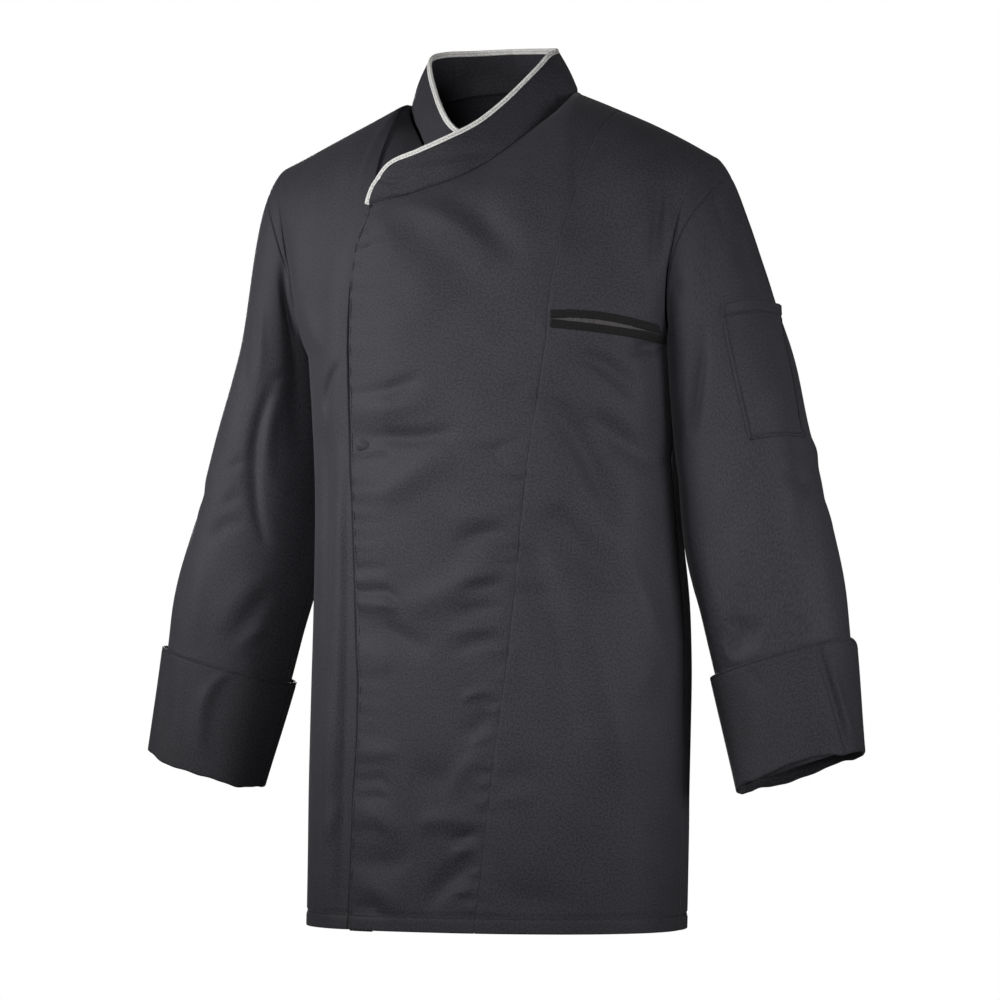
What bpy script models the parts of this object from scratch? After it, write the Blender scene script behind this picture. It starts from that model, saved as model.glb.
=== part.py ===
"""Chef jacket, worn shape with nobody in it: cut-and-sewn pieces as thin walls.

Metres, +Z up, +X to the wearer's left, the front faces -Y. The origin lies midway between
the two points where the shoulder seams meet the collar.
"""

import math

import bpy
import numpy as np

# Cloth
WALL = 0.0018
COLLAR_WALL = 0.0022
CUFF_WALL = 0.0030
SEAM_GAP = 0.0003
PANEL_GAP = 0.0006
RIDGE_GAP = 0.0020
ARMHOLE_GAP = 0.0012
UNDERLAP_DEPTH = 0.0050
UNDERLAP_EXTRA = 0.0190

# Heights of the body
HEM = -0.792
UNDERARM = -0.245
SHOULDER_DROP = -0.057
SHOULDER_HALF = 0.224
SHOULDER_LEAN = 0.010
SHOULDER_HEIGHTS = (-0.240, -0.100)
COLLAR_LEAN = 0.05
COLLAR_SHIFT = 0.0020
COLLAR_HEIGHTS = (0.010, 0.050)

# Overlap of the fronts
FRONT_EDGE = -0.090
UNDERLAP_EDGE = 0.070

# Where the right front gives way: from its open part to the overlap, past the centre, up the
# body and towards the front
TUCK_ACROSS = (-0.130, -0.095)
TUCK_PAST = (-0.030, 0.015)
TUCK_HEIGHT = (-0.240, -0.140)
TUCK_FORWARD = (0.010, 0.045)

# Body sections below the underarm, level: half width, depth of front and of back from Y = 0,
# and how far the ring is shifted to the wearer's left. Ways out of a section's points are
# measured as on an ellipse this much wider than deep.
SECTION_POWER = 2.3
SECTION_ROUNDNESS = 1.6
BODY_SECTIONS = [
    dict(z=-0.792, half=0.185, front=0.121, back=0.126, shift=0.002),
    dict(z=-0.680, half=0.186, front=0.120, back=0.124, shift=0.004),
    dict(z=-0.500, half=0.185, front=0.118, back=0.117, shift=0.0065),
    dict(z=-0.380, half=0.180, front=0.118, back=0.110, shift=0.003),
    dict(z=-0.245, half=0.184, front=0.118, back=0.116, shift=0.000),
]

# Collar from centre back round the left side to the end of the overlap: the body column that
# meets it there (-1 to 1 from side seam to side seam, 0 at the centre; the first three rows
# meet the back, the rest the front), its seam with the body, its free edge, and how strongly
# that column comes from further out, leans towards the neck and rises where it arrives
COLLAR = [
    dict(column=0.00, seam=(0.000, 0.072, 0.0265), edge=(0.000, 0.060, 0.0615),
         out=0.00, lean=0.11, rise=0.13),
    dict(column=0.22, seam=(0.045, 0.062, 0.0230), edge=(0.037, 0.051, 0.0590),
         out=0.04, lean=0.14, rise=0.12),
    dict(column=0.36, seam=(0.0735, 0.034, 0.0120), edge=(0.060, 0.027, 0.0535),
         out=0.09, lean=0.20, rise=0.08),
    dict(column=4 / 9, seam=(0.085, 0.002, 0.0055), edge=(0.0635, -0.004, 0.043),
         out=0.06, lean=0.26, rise=0.04),
    dict(column=0.40, seam=(0.077, -0.016, -0.013), edge=(0.0585, -0.022, 0.026),
         out=0.04, lean=0.25, rise=0.06),
    dict(column=0.34, seam=(0.065, -0.034, -0.029), edge=(0.048, -0.040, 0.006),
         out=0.02, lean=0.22, rise=0.09),
    dict(column=0.26, seam=(0.047, -0.059, -0.051), edge=(0.033, -0.059, -0.0165),
         out=0.0, lean=0.17, rise=0.12),
    dict(column=0.15, seam=(0.027, -0.079, -0.0715), edge=(0.015, -0.078, -0.037),
         out=0.0, lean=0.11, rise=0.14),
    dict(column=0.03, seam=(0.002, -0.0945, -0.088), edge=(-0.007, -0.093, -0.0515),
         out=0.0, lean=0.07, rise=0.15),
    dict(column=-0.10, seam=(-0.029, -0.101, -0.0985), edge=(-0.034, -0.1, -0.0635),
         out=0.0, lean=0.05, rise=0.14),
    dict(column=-0.20, seam=(-0.059, -0.103, -0.1055), edge=(-0.063, -0.102, -0.0745),
         out=0.0, lean=0.04, rise=0.13),
    dict(column=-0.29, seam=(-0.085, -0.1035, -0.111), edge=(-0.079, -0.103, -0.094),
         out=0.0, lean=0.03, rise=0.13),
]
NECK_ROW = 3
NECK_COLUMN = COLLAR[NECK_ROW]["column"]

# Shoulder line from the collar to the armhole, where the outer body columns arrive
SHOULDER = [
    dict(point=COLLAR[NECK_ROW]["seam"], column=NECK_COLUMN, out=0.06, lean=0.26, rise=0.04),
    dict(point=(0.1520, 0.0040, -0.0225), column=0.70, out=0.01, lean=0.25, rise=0.04),
    dict(point=(SHOULDER_HALF, 0.010, SHOULDER_DROP), column=1.00, out=-0.03, lean=0.22, rise=0.03),
]
COLUMN_RISE = 0.28
ARMHOLE_FORWARD = 0.200
ARMHOLE_BACK = 0.260
ARMHOLE_RISE = 0.060
ARMHOLE_FROM_COLUMN = 0.50

# Slanted seam between the two panels of the left front: height and distance from the centre
# below the underarm. Above it the seam runs to the shoulder, and this share of the centre
# panel's top meets the collar.
PANEL_SEAM = [
    dict(z=-0.795, x=0.028),
    dict(z=-0.620, x=0.045),
    dict(z=-0.500, x=0.059),
    dict(z=-0.380, x=0.0735),
    dict(z=-0.245, x=0.096),
]
PANEL_NECK_SHARE = 0.8

# Sleeve sections across the arm, mirrored for the right arm: centre, half width and half
# depth of the section, how far its outer side is tipped up, and by how many degrees its
# front is turned towards the body
SLEEVE_POWER = 2.2
SLEEVE_SECTIONS = [
    dict(centre=(0.2320, 0.024, -0.250), half=0.0450, depth=0.070, tip=0.016, twist=14.0),
    dict(centre=(0.2440, 0.024, -0.335), half=0.0590, depth=0.067, tip=0.014, twist=8.0),
    dict(centre=(0.2595, 0.017, -0.420), half=0.0670, depth=0.060, tip=0.016, twist=0.0),
    dict(centre=(0.2780, 0.011, -0.495), half=0.0660, depth=0.053, tip=0.018, twist=0.0),
    dict(centre=(0.2860, 0.009, -0.540), half=0.0628, depth=0.048, tip=0.018, twist=0.0),
    dict(centre=(0.3050, -0.002, -0.643), half=0.0555, depth=0.041, tip=0.018, twist=0.0),
]
SLEEVE_LEAVE = 0.056
SLEEVE_GIRTH = 0.40
SLEEVE_LENGTH = 0.60

# Steps, in turns, columns or levels, for directions on a surface, and how many and how long
# steps find a point on it
NORMAL_STEP = 0.004
SEARCH_STEPS = 12
SEARCH_REACH = 20.0

# Turned-back cuff: where it starts along the sleeve, how far it stands off and flares, how
# far its lower edge reaches in, how deep it rolls below the sleeve's end and its gap to it
CUFF_TOP = 0.790
CUFF_STAND = 0.0015
CUFF_FLARE = 0.0012
CUFF_LIP = 0.0042
CUFF_ROLL = 0.0036
CUFF_CLEAR = 0.0006

# Collar band, and the piping on its edge
COLLAR_BOW = 0.045
COLLAR_LIFT = 0.0010
PIPING_RADIUS = 0.0021
PIPING_GAP = 0.0006
PIPING_END_POINTS = 5

# Chest pocket on the left side panel: ends by distance from the centre and height of the
# slit, its bow, and the width of each welt
POCKET_INNER = (0.1040, -0.2330)
POCKET_OUTER = (0.1780, -0.2440)
POCKET_BOW = 0.0055
WELT_WIDTH = 0.0085
SLIT_WIDTH = 0.0036
WELT_GAP = 0.0004
WELT_WALL = 0.0012
TRIM_GAP = 0.0012

# Sleeve pocket: where it lies round the left sleeve (turns forward from the outer side)
# and along it
PATCH_TURNS = (-0.004, 0.178)
PATCH_SPAN = (0.163, 0.405)
PATCH_WALL = 0.0012

# Soft folds pressed into the walls: distance across and height of both ends, half width and
# depth (minus is a trough). Front folds count from the centre to the wearer's left.
# A fold's ends keep this share of its depth.
FOLD_END = 0.35
FRONT_FOLDS = [
    dict(x0=-0.025, z0=-0.150, x1=0.060, z1=-0.220, width=0.022, depth=-0.0035),
    dict(x0=-0.050, z0=-0.170, x1=0.020, z1=-0.240, width=0.024, depth=0.0025),
    dict(x0=0.110, z0=-0.300, x1=0.158, z1=-0.380, width=0.022, depth=-0.0035),
    dict(x0=0.085, z0=-0.400, x1=0.135, z1=-0.480, width=0.024, depth=-0.0030),
    dict(x0=0.075, z0=-0.490, x1=0.110, z1=-0.640, width=0.026, depth=-0.0030),
    dict(x0=0.140, z0=-0.520, x1=0.165, z1=-0.660, width=0.024, depth=0.0030),
]
RIGHT_FOLDS = [
    dict(x0=-0.117, z0=-0.420, x1=-0.120, z1=-0.640, width=0.022, depth=0.0028),
    dict(x0=-0.150, z0=-0.270, x1=-0.135, z1=-0.400, width=0.022, depth=-0.0030),
]
BACK_FOLDS = [
    dict(x0=-0.110, z0=-0.190, x1=-0.060, z1=-0.330, width=0.020, depth=-0.0030),
    dict(x0=0.115, z0=-0.200, x1=0.075, z1=-0.350, width=0.020, depth=-0.0030),
    dict(x0=-0.060, z0=-0.450, x1=-0.085, z1=-0.640, width=0.022, depth=0.0030),
    dict(x0=0.045, z0=-0.480, x1=0.065, z1=-0.700, width=0.022, depth=0.0030),
    dict(x0=-0.010, z0=-0.420, x1=0.030, z1=-0.520, width=0.020, depth=-0.0025),
]
# Sleeve folds: turns round the section and share of the length for both ends
SLEEVE_FOLDS = [
    dict(turn0=0.02, along0=0.36, turn1=0.10, along1=0.60, width=0.014, depth=-0.0035),
    dict(turn0=0.95, along0=0.52, turn1=0.12, along1=0.47, width=0.012, depth=-0.0030),
    dict(turn0=0.90, along0=0.44, turn1=0.02, along1=0.40, width=0.012, depth=0.0025),
    dict(turn0=0.55, along0=0.30, turn1=0.48, along1=0.62, width=0.015, depth=0.0030),
    dict(turn0=0.72, along0=0.46, turn1=0.60, along1=0.50, width=0.012, depth=-0.0030),
]

# Mesh spacing
BODY_ROWS_LOW = 17
BODY_ROWS_HIGH = 9
PANEL_COLUMNS = 10
SIDE_COLUMNS = 7
RIGHT_COLUMNS = 13
RIGHT_SHOULDER_COLUMNS = 7
BACK_COLUMNS = 18
SLEEVE_ROUND = 24
SLEEVE_ROWS = 22
CUFF_ROWS = 5
COLLAR_ROWS = 4
POCKET_COLUMNS = 12
PATCH_COLUMNS = 8
PATCH_ROWS = 8

CLOTH_COLOUR = (0.030, 0.030, 0.034, 1.0)
PIPING_COLOUR = (0.520, 0.505, 0.490, 1.0)
WELT_COLOUR = (0.008, 0.008, 0.009, 1.0)


def smooth(x):
    """0 to 1 with level ends."""
    t = np.clip(x, 0.0, 1.0)
    return t * t * (3.0 - 2.0 * t)


def ramp(x, start, end):
    """0 before start, 1 past end, smooth between."""
    return smooth((x - start) / (end - start))


def through(keys, values, x):
    """A smooth curve through the values at rising keys, read at x."""
    keys = np.asarray(keys, float)
    values = np.asarray(values, float)
    slopes = np.gradient(values, keys, axis=0)
    x = np.clip(x, keys[0], keys[-1])
    i = np.clip(np.searchsorted(keys, x, side="right") - 1, 0, len(keys) - 2)
    span = keys[i + 1] - keys[i]
    t = (x - keys[i]) / span
    if values.ndim > 1:
        t = t[..., None]
        span = span[..., None]
    return hermite(values[i], values[i + 1], slopes[i] * span, slopes[i + 1] * span, t)


def hermite(start, end, leave, arrive, t):
    """Cubic from start to end with the given end tangents."""
    t2 = t * t
    t3 = t2 * t
    return (
        (2 * t3 - 3 * t2 + 1) * start
        + (t3 - 2 * t2 + t) * leave
        + (3 * t2 - 2 * t3) * end
        + (t3 - t2) * arrive
    )


def column_of(rows, name):
    return np.array([row[name] for row in rows], float)


def body_section(column, z, back, side):
    """Point of the body's ring at height z; column is -1 to 1 between the side seams.

    side is 1 for the wearer's left and -1 for the right, which is built mirrored.
    """
    keys = column_of(BODY_SECTIONS, "z")
    half = through(keys, column_of(BODY_SECTIONS, "half"), z)
    depth = through(keys, column_of(BODY_SECTIONS, "back" if back else "front"), z)
    angle = np.clip(column, -1.0, 1.0) * math.pi / 2
    power = 2.0 / SECTION_POWER
    x = half * np.sign(np.sin(angle)) * np.abs(np.sin(angle)) ** power
    y = depth * np.abs(np.cos(angle)) ** power
    shift = through(keys, column_of(BODY_SECTIONS, "shift"), z)
    return np.stack([x + shift * side, y if back else -y, z + 0.0 * x], -1)


def column_at(x, z):
    """The column that lies at distance x from the centre at height z."""
    keys = column_of(BODY_SECTIONS, "z")
    half = through(keys, column_of(BODY_SECTIONS, "half"), z)
    share = np.clip(np.abs(x) / half, 0.0, 1.0) ** (SECTION_POWER / 2)
    return np.sign(x) * np.arcsin(share) * 2 / math.pi


def top_edge(column, back):
    """Points and arriving tangents of a body panel's top: neck seam, then shoulder line."""
    neck = COLLAR[:NECK_ROW] if back else COLLAR[:NECK_ROW:-1]
    neck = neck + [COLLAR[NECK_ROW]]
    station = np.interp(column, column_of(neck, "column"), [COLLAR.index(row) for row in neck])
    seam = through(np.arange(len(COLLAR)), column_of(COLLAR, "seam"), station)
    line = through(column_of(SHOULDER, "column"), column_of(SHOULDER, "point"), column)
    points = np.where(column[..., None] > NECK_COLUMN, line, seam)
    rows = neck[:-1] + SHOULDER
    keys = column_of(rows, "column")
    inward = -column_of(rows, "out")
    turn = column_of(rows, "lean") * (-1 if back else 1)
    arrive = [np.interp(column, keys, v) for v in (inward, turn, column_of(rows, "rise"))]
    return points, np.stack(arrive, -1)


def body_point(column, level, back, side=1):
    """Left half of the body: level -1 is the hem, 0 the underarm and 1 the top edge."""
    column, level = np.broadcast_arrays(np.asarray(column, float), np.asarray(level, float))
    z = UNDERARM + np.clip(level, -1.0, 0.0) * (UNDERARM - HEM)
    low = body_section(column, z, back, side)
    start = body_section(column, np.full(column.shape, UNDERARM), back, side)
    end, arrive = top_edge(column, back)
    swing = smooth((np.abs(column) - ARMHOLE_FROM_COLUMN) / (1 - ARMHOLE_FROM_COLUMN))[..., None]
    reach = ARMHOLE_BACK if back else -ARMHOLE_FORWARD
    upright = np.array([0.0, 0.0, COLUMN_RISE])
    around = np.array([0.0, reach, ARMHOLE_RISE])
    t = np.clip(level, 0.0, 1.0)[..., None]
    high = hermite(start, end, upright + (around - upright) * swing, arrive, t)
    return np.where(level[..., None] > 0, high, low)


def lean_shoulders(points):
    """The left shoulder, and that side of the collar, sit a little lower than the right."""
    x, _, z = np.moveaxis(points, -1, 0)
    drop = SHOULDER_LEAN * np.clip(x / SHOULDER_HALF, -1, 1) ** 3
    collar = ramp(z, *COLLAR_HEIGHTS)
    out = points.copy()
    out[..., 2] -= drop * ramp(z, *SHOULDER_HEIGHTS) + COLLAR_LEAN * x * collar
    out[..., 0] -= COLLAR_SHIFT * collar
    return out


def fold_profile(along, across):
    """Height of a fold: along is its share of the length, across is in half widths."""
    return (FOLD_END + (1 - FOLD_END) * np.sin(math.pi * along)) * np.exp(-(across ** 2))


def press_folds(points, folds):
    """Move body points in or out along Y and X by the soft folds near them."""
    out = points.copy()
    outward = points * np.array([1.0, SECTION_ROUNDNESS, 0.0])
    outward /= np.linalg.norm(outward, axis=-1, keepdims=True) + 1e-9
    for fold in folds:
        start = np.array([fold["x0"], fold["z0"]])
        along = np.array([fold["x1"], fold["z1"]]) - start
        flat = points[..., [0, 2]] - start
        t = np.clip(flat @ along / (along @ along), 0.0, 1.0)
        distance = np.linalg.norm(flat - t[..., None] * along, axis=-1)
        amount = fold["depth"] * fold_profile(t, distance / fold["width"])
        out += outward * amount[..., None]
    return out


def tuck_under(points):
    """Set the right front and its collar inside the left front where the two overlap."""
    x, y, z = np.moveaxis(points, -1, 0)
    across = ramp(x, *TUCK_ACROSS)
    past = ramp(x, *TUCK_PAST) * ramp(z, *TUCK_HEIGHT)
    out = points.copy()
    out[..., 1] += (UNDERLAP_DEPTH * across + UNDERLAP_EXTRA * past) * ramp(-y, *TUCK_FORWARD)
    return out


def left_front(column, level):
    points = body_point(column, level, False)
    return lean_shoulders(press_folds(points, FRONT_FOLDS))


def right_front(column, level):
    points = body_point(column, level, False, -1) * np.array([-1.0, 1.0, 1.0])
    return lean_shoulders(tuck_under(press_folds(points, RIGHT_FOLDS)))


def back_point(column, level):
    left = body_point(np.abs(column), level, True, 1)
    right = body_point(np.abs(column), level, True, -1) * np.array([-1.0, 1.0, 1.0])
    points = np.where((np.asarray(column) < 0)[..., None], right, left)
    return lean_shoulders(press_folds(points, BACK_FOLDS))


def levels():
    """Rows of a body panel from the hem to the top."""
    low = np.linspace(-1.0, 0.0, BODY_ROWS_LOW + 1)
    high = np.linspace(0.0, 1.0, BODY_ROWS_HIGH + 1)[1:]
    return np.concatenate([low, high])


def edge_column(x, level, top):
    """Column of a panel edge that runs down at distance x and meets the collar at top."""
    z = UNDERARM + np.clip(level, -1.0, 0.0) * (UNDERARM - HEM)
    low = column_at(x, z)
    return low + (top - low) * smooth(np.clip(level, 0.0, 1.0) ** 1.3)


def panel_seam_column(level):
    z = UNDERARM + np.clip(level, -1.0, 0.0) * (UNDERARM - HEM)
    x = through(column_of(PANEL_SEAM, "z"), column_of(PANEL_SEAM, "x"), z)
    low = column_at(x, z)
    edge = COLLAR[-1]["column"]
    top = edge + (NECK_COLUMN - edge) / PANEL_NECK_SHARE
    return low + (top - low) * smooth(np.clip(level, 0.0, 1.0))


def strip(surface, first, last, columns, shrink):
    """Grid of points between two edges of a body panel, one row for each level.

    shrink says by how much the first, last and top edges give way for their seams.
    """
    rows = levels()
    share = np.linspace(0.0, 1.0, columns + 1)
    grid = []
    for level in rows:
        a = first(np.array(level))
        b = last(np.array(level))
        grid.append(surface(a + (b - a) * share, np.full(columns + 1, level)))
    grid = np.array(grid)
    pull_in(grid[:, 0], grid[:, 1], shrink[0])
    pull_in(grid[:, -1], grid[:, -2], shrink[1])
    pull_in(grid[-1], grid[-2], shrink[2])
    return grid


def pull_in(edge, inner, gap):
    """Move an edge towards the next line by half a seam's gap, in place."""
    way = inner - edge
    way /= np.linalg.norm(way, axis=-1, keepdims=True) + 1e-9
    edge += way * gap / 2


def make_material(name, colour, roughness):
    material = bpy.data.materials.new(name)
    material.use_nodes = True
    shader = material.node_tree.nodes["Principled BSDF"]
    shader.inputs["Base Color"].default_value = colour
    shader.inputs["Roughness"].default_value = roughness
    material.diffuse_color = colour
    return material


def add_object(name, mesh, material, collection):
    piece = bpy.data.objects.new(name, mesh)
    mesh.materials.append(material)
    mesh.shade_smooth()
    collection.objects.link(piece)
    return piece


def loft_mesh(name, grid, closed_round=False, closed_along=False):
    """Mesh of a grid of sections; each row is one section."""
    rows, columns = grid.shape[:2]
    faces = []
    for r in range(rows if closed_along else rows - 1):
        for c in range(columns if closed_round else columns - 1):
            r2 = (r + 1) % rows
            c2 = (c + 1) % columns
            faces.append((r * columns + c, r * columns + c2, r2 * columns + c2, r2 * columns + c))
    mesh = bpy.data.meshes.new(name)
    mesh.from_pydata(grid.reshape(-1, 3).tolist(), [], faces)
    return mesh


def add_wall(name, grid, thickness, material, collection, closed_round=False, flip=False):
    """Thin cloth wall: the grid is its outer face, Solidify gives it its thickness."""
    if flip:
        grid = grid[:, ::-1]
    piece = add_object(name, loft_mesh(name, grid, closed_round), material, collection)
    shell = piece.modifiers.new("cloth", "SOLIDIFY")
    shell.thickness = thickness
    shell.offset = -1.0
    shell.use_rim = True
    return piece


def front_edge(level):
    return edge_column(FRONT_EDGE, level, COLLAR[-1]["column"])


def side_seam(level):
    return np.ones_like(level)


def underlap_edge(level):
    """Hidden edge of the right front, as a column of its own mirrored half."""
    top = 1.0 - (1.0 - NECK_COLUMN) * RIGHT_COLUMNS / RIGHT_SHOULDER_COLUMNS
    return edge_column(-UNDERLAP_EDGE, level, top)


def right_side_seam(level):
    return -np.ones_like(level)


def add_body(cloth, collection):
    panel = strip(left_front, front_edge, panel_seam_column, PANEL_COLUMNS, (0, PANEL_GAP, RIDGE_GAP))
    add_wall("left_front_panel", panel, WALL, cloth, collection)
    side = strip(left_front, panel_seam_column, side_seam, SIDE_COLUMNS, (PANEL_GAP, RIDGE_GAP, RIDGE_GAP))
    add_wall("left_front_side", side, WALL, cloth, collection)
    right = strip(right_front, side_seam, underlap_edge, RIGHT_COLUMNS, (RIDGE_GAP, 0, RIDGE_GAP))
    add_wall("right_front", right, WALL, cloth, collection)
    back = strip(back_point, right_side_seam, side_seam, BACK_COLUMNS, (RIDGE_GAP, RIDGE_GAP, RIDGE_GAP))
    add_wall("back", back, WALL, cloth, collection, flip=True)


def armhole(turn):
    """The left armhole: turn 0 is its top, 0.25 the front, 0.5 the underarm, 0.75 the back."""
    turn = np.asarray(turn, float) % 1.0
    level = np.abs(1.0 - 2.0 * turn)
    ones = np.ones_like(turn)
    front = body_point(ones, level, False)
    back = body_point(ones, level, True)
    return np.where((turn < 0.5)[..., None], front, back)


def sleeve_section(row, turn):
    """A section of the left sleeve: turn 0 outer side, 0.25 front, 0.5 inner, 0.75 back."""
    angle = turn * 2 * math.pi
    power = 2.0 / SLEEVE_POWER
    c = np.sign(np.cos(angle)) * np.abs(np.cos(angle)) ** power
    s = np.sign(np.sin(angle)) * np.abs(np.sin(angle)) ** power
    x, y, z = row["centre"]
    twist = math.radians(row["twist"])
    across = row["half"] * c * math.cos(twist) - row["depth"] * s * math.sin(twist)
    forward = row["half"] * c * math.sin(twist) + row["depth"] * s * math.cos(twist)
    return np.stack([x + across, y - forward, z + row["tip"] * c], -1)


def sleeve_keys():
    """Shares of the sleeve's length at which its sections lie, the armhole being 0."""
    heights = [row["centre"][2] for row in SLEEVE_SECTIONS]
    top = (SHOULDER_DROP + UNDERARM) / 2
    return np.array([0.0] + [(top - z) / (top - heights[-1]) for z in heights])


def plain_sleeve(turn, along):
    """Point of the left sleeve: along is 0 at the armhole and 1 at its end."""
    turn, along = np.broadcast_arrays(np.asarray(turn, float), np.asarray(along, float))
    start = armhole(turn)
    sections = [start] + [sleeve_section(row, turn) for row in SLEEVE_SECTIONS]
    keys = sleeve_keys()
    slopes = np.gradient(np.array(sections), keys, axis=0)
    slopes[0] = sleeve_leaving(turn) / keys[1] * 1.6
    i = np.clip(np.searchsorted(keys, along, side="right") - 1, 0, len(keys) - 2)
    span = (keys[i + 1] - keys[i])[..., None]
    t = ((along - keys[i]) / (keys[i + 1] - keys[i]))[..., None]
    picks = np.array(sections)
    a = np.take_along_axis(picks, i[None, ..., None], 0)[0]
    b = np.take_along_axis(picks, i[None, ..., None] + 1, 0)[0]
    sa = np.take_along_axis(slopes, i[None, ..., None], 0)[0]
    sb = np.take_along_axis(slopes, i[None, ..., None] + 1, 0)[0]
    return hermite(a, b, sa * span, sb * span, t)


def sleeve_leaving(turn):
    """Direction and speed in which the sleeve leaves the armhole."""
    top = 0.5 + 0.5 * np.cos(turn * 2 * math.pi)
    out = SLEEVE_LEAVE * (0.10 + 0.90 * top ** 0.8)
    down = -0.018 - 0.030 * top
    return np.stack([out, 0.0 * out, down], -1)


def sleeve_point(turn, along, side):
    """Point of a sleeve's outer face; side is 1 for the left and -1 for the right one."""
    points = plain_sleeve(turn, along)
    after = plain_sleeve(turn, np.clip(along + NORMAL_STEP, 0, 1))
    before = plain_sleeve(turn, np.clip(along - NORMAL_STEP, 0, 1))
    round_ = plain_sleeve(turn + NORMAL_STEP, along) - plain_sleeve(turn - NORMAL_STEP, along)
    normal = np.cross(round_, after - before)
    normal /= np.linalg.norm(normal, axis=-1, keepdims=True) + 1e-12
    points = points + normal * sleeve_fold_depth(turn, along)[..., None]
    return lean_shoulders(points * np.array([side, 1.0, 1.0]))


def sleeve_fold_depth(turn, along):
    """How far the soft folds move the sleeve's wall out."""
    turn, along = np.broadcast_arrays(np.asarray(turn, float), np.asarray(along, float))
    depth = np.zeros(turn.shape)
    for fold in SLEEVE_FOLDS:
        lead = (turn - fold["turn0"] + 0.5) % 1.0 - 0.5
        swing = (fold["turn1"] - fold["turn0"] + 0.5) % 1.0 - 0.5
        way = np.array([swing * SLEEVE_GIRTH, (fold["along1"] - fold["along0"]) * SLEEVE_LENGTH])
        flat = np.stack([lead * SLEEVE_GIRTH, (along - fold["along0"]) * SLEEVE_LENGTH], -1)
        t = np.clip(flat @ way / (way @ way), 0.0, 1.0)
        distance = np.linalg.norm(flat - t[..., None] * way, axis=-1)
        depth += fold["depth"] * fold_profile(t, distance / fold["width"])
    return depth


def add_sleeve(name, side, cloth, collection):
    turns = np.arange(SLEEVE_ROUND) / SLEEVE_ROUND
    rows = np.linspace(0.0, 1.0, SLEEVE_ROWS + 1) ** 1.1
    grid = np.array([sleeve_point(turns, np.full(turns.shape, a), side) for a in rows])
    away = grid[1] - grid[0]
    grid[0] += away / np.linalg.norm(away, axis=-1, keepdims=True) * ARMHOLE_GAP
    add_wall(name, grid, WALL, cloth, collection, closed_round=True, flip=side < 0)


def cuff_profile():
    """Share of the sleeve's length and distance off its face, up the cuff's outer wall."""
    shares = np.linspace(CUFF_TOP, 1.0, CUFF_ROWS + 1)
    flare = CUFF_FLARE * (1 - smooth((shares - CUFF_TOP) / (1 - CUFF_TOP)))
    return list(zip(shares, CUFF_STAND + CUFF_WALL + flare))


def add_cuff(name, side, cloth, collection):
    """The turned-back cuff: a doubled band round the sleeve's end with a rolled lower edge."""
    turns = np.arange(SLEEVE_ROUND) / SLEEVE_ROUND
    profile = cuff_profile()
    rings = [offset_sleeve(turns, share, off, side) for share, off in profile]
    end = rings[-1]
    down = end - rings[-2]
    down /= np.linalg.norm(down, axis=-1, keepdims=True)
    inside = offset_sleeve(turns, 1.0, -CUFF_LIP, side)
    middle = offset_sleeve(turns, 1.0, 0.0, side)
    rings.append(end + (middle - end) / 4 + down * CUFF_ROLL * 0.8)
    rings.append(middle + down * CUFF_ROLL)
    rings.append(inside + down * CUFF_ROLL * 0.8)
    rings.append(inside + down * CUFF_CLEAR)
    rings.append(middle + down * CUFF_CLEAR)
    for share, off in reversed(profile[1:]):
        rings.append(offset_sleeve(turns, share, off - CUFF_WALL, side))
    rings.append(offset_sleeve(turns, CUFF_TOP, profile[0][1] - CUFF_WALL, side))
    grid = np.array(rings)
    if side < 0:
        grid = grid[:, ::-1]
    mesh = loft_mesh(name, grid, closed_round=True, closed_along=True)
    add_object(name, mesh, cloth, collection)


def offset_sleeve(turns, along, off, side):
    """A ring parallel to the sleeve's face."""
    alongs = np.full(turns.shape, along)
    here = sleeve_point(turns, alongs, side)
    down = here - sleeve_point(turns, alongs - 2 * NORMAL_STEP, side)
    forward = sleeve_point(turns + NORMAL_STEP, alongs, side)
    round_ = forward - sleeve_point(turns - NORMAL_STEP, alongs, side)
    normal = np.cross(round_, down) * side
    normal /= np.linalg.norm(normal, axis=-1, keepdims=True)
    return here + normal * off


def collar_line(name, station):
    """Seam or edge of the collar; station runs from the overlap's end, 0, to the hidden end."""
    rows = column_of(COLLAR, name)
    index = len(COLLAR) - 1 - np.asarray(station, float)
    points = through(np.arange(len(COLLAR)), rows, np.abs(index))
    right = index < 0
    points[..., 0] *= np.where(right, -1.0, 1.0)
    return lean_shoulders(np.where(right[..., None], tuck_under(points), points))


def collar_stations():
    """Stations where the body panels' top corners meet the collar, with one between each."""
    last = len(COLLAR) - 1
    front = COLLAR[:NECK_ROW - 1:-1]
    back = COLLAR[:NECK_ROW + 1]
    steps = round(PANEL_COLUMNS * PANEL_NECK_SHARE)
    left = np.linspace(front[0]["column"], NECK_COLUMN, steps + 1)
    behind = np.linspace(NECK_COLUMN, 0.0, BACK_COLUMNS // 2 * 4 // 9 + 1)
    width = (1.0 - NECK_COLUMN) / RIGHT_SHOULDER_COLUMNS
    under = NECK_COLUMN - width * np.arange(RIGHT_COLUMNS - RIGHT_SHOULDER_COLUMNS + 1)
    front_index = [COLLAR.index(row) for row in front]
    back_index = [COLLAR.index(row) for row in back]
    along_left = last - np.interp(left, column_of(front, "column"), front_index)
    along_back = last - np.interp(behind, column_of(back, "column"), back_index)
    along_under = last + np.interp(under, column_of(front, "column"), front_index)
    main = np.concatenate([along_left, along_back[1:], 2 * last - along_back[-2::-1], along_under[1:]])
    between = (main[1:] + main[:-1]) / 2
    return np.sort(np.concatenate([main, between]))


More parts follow.
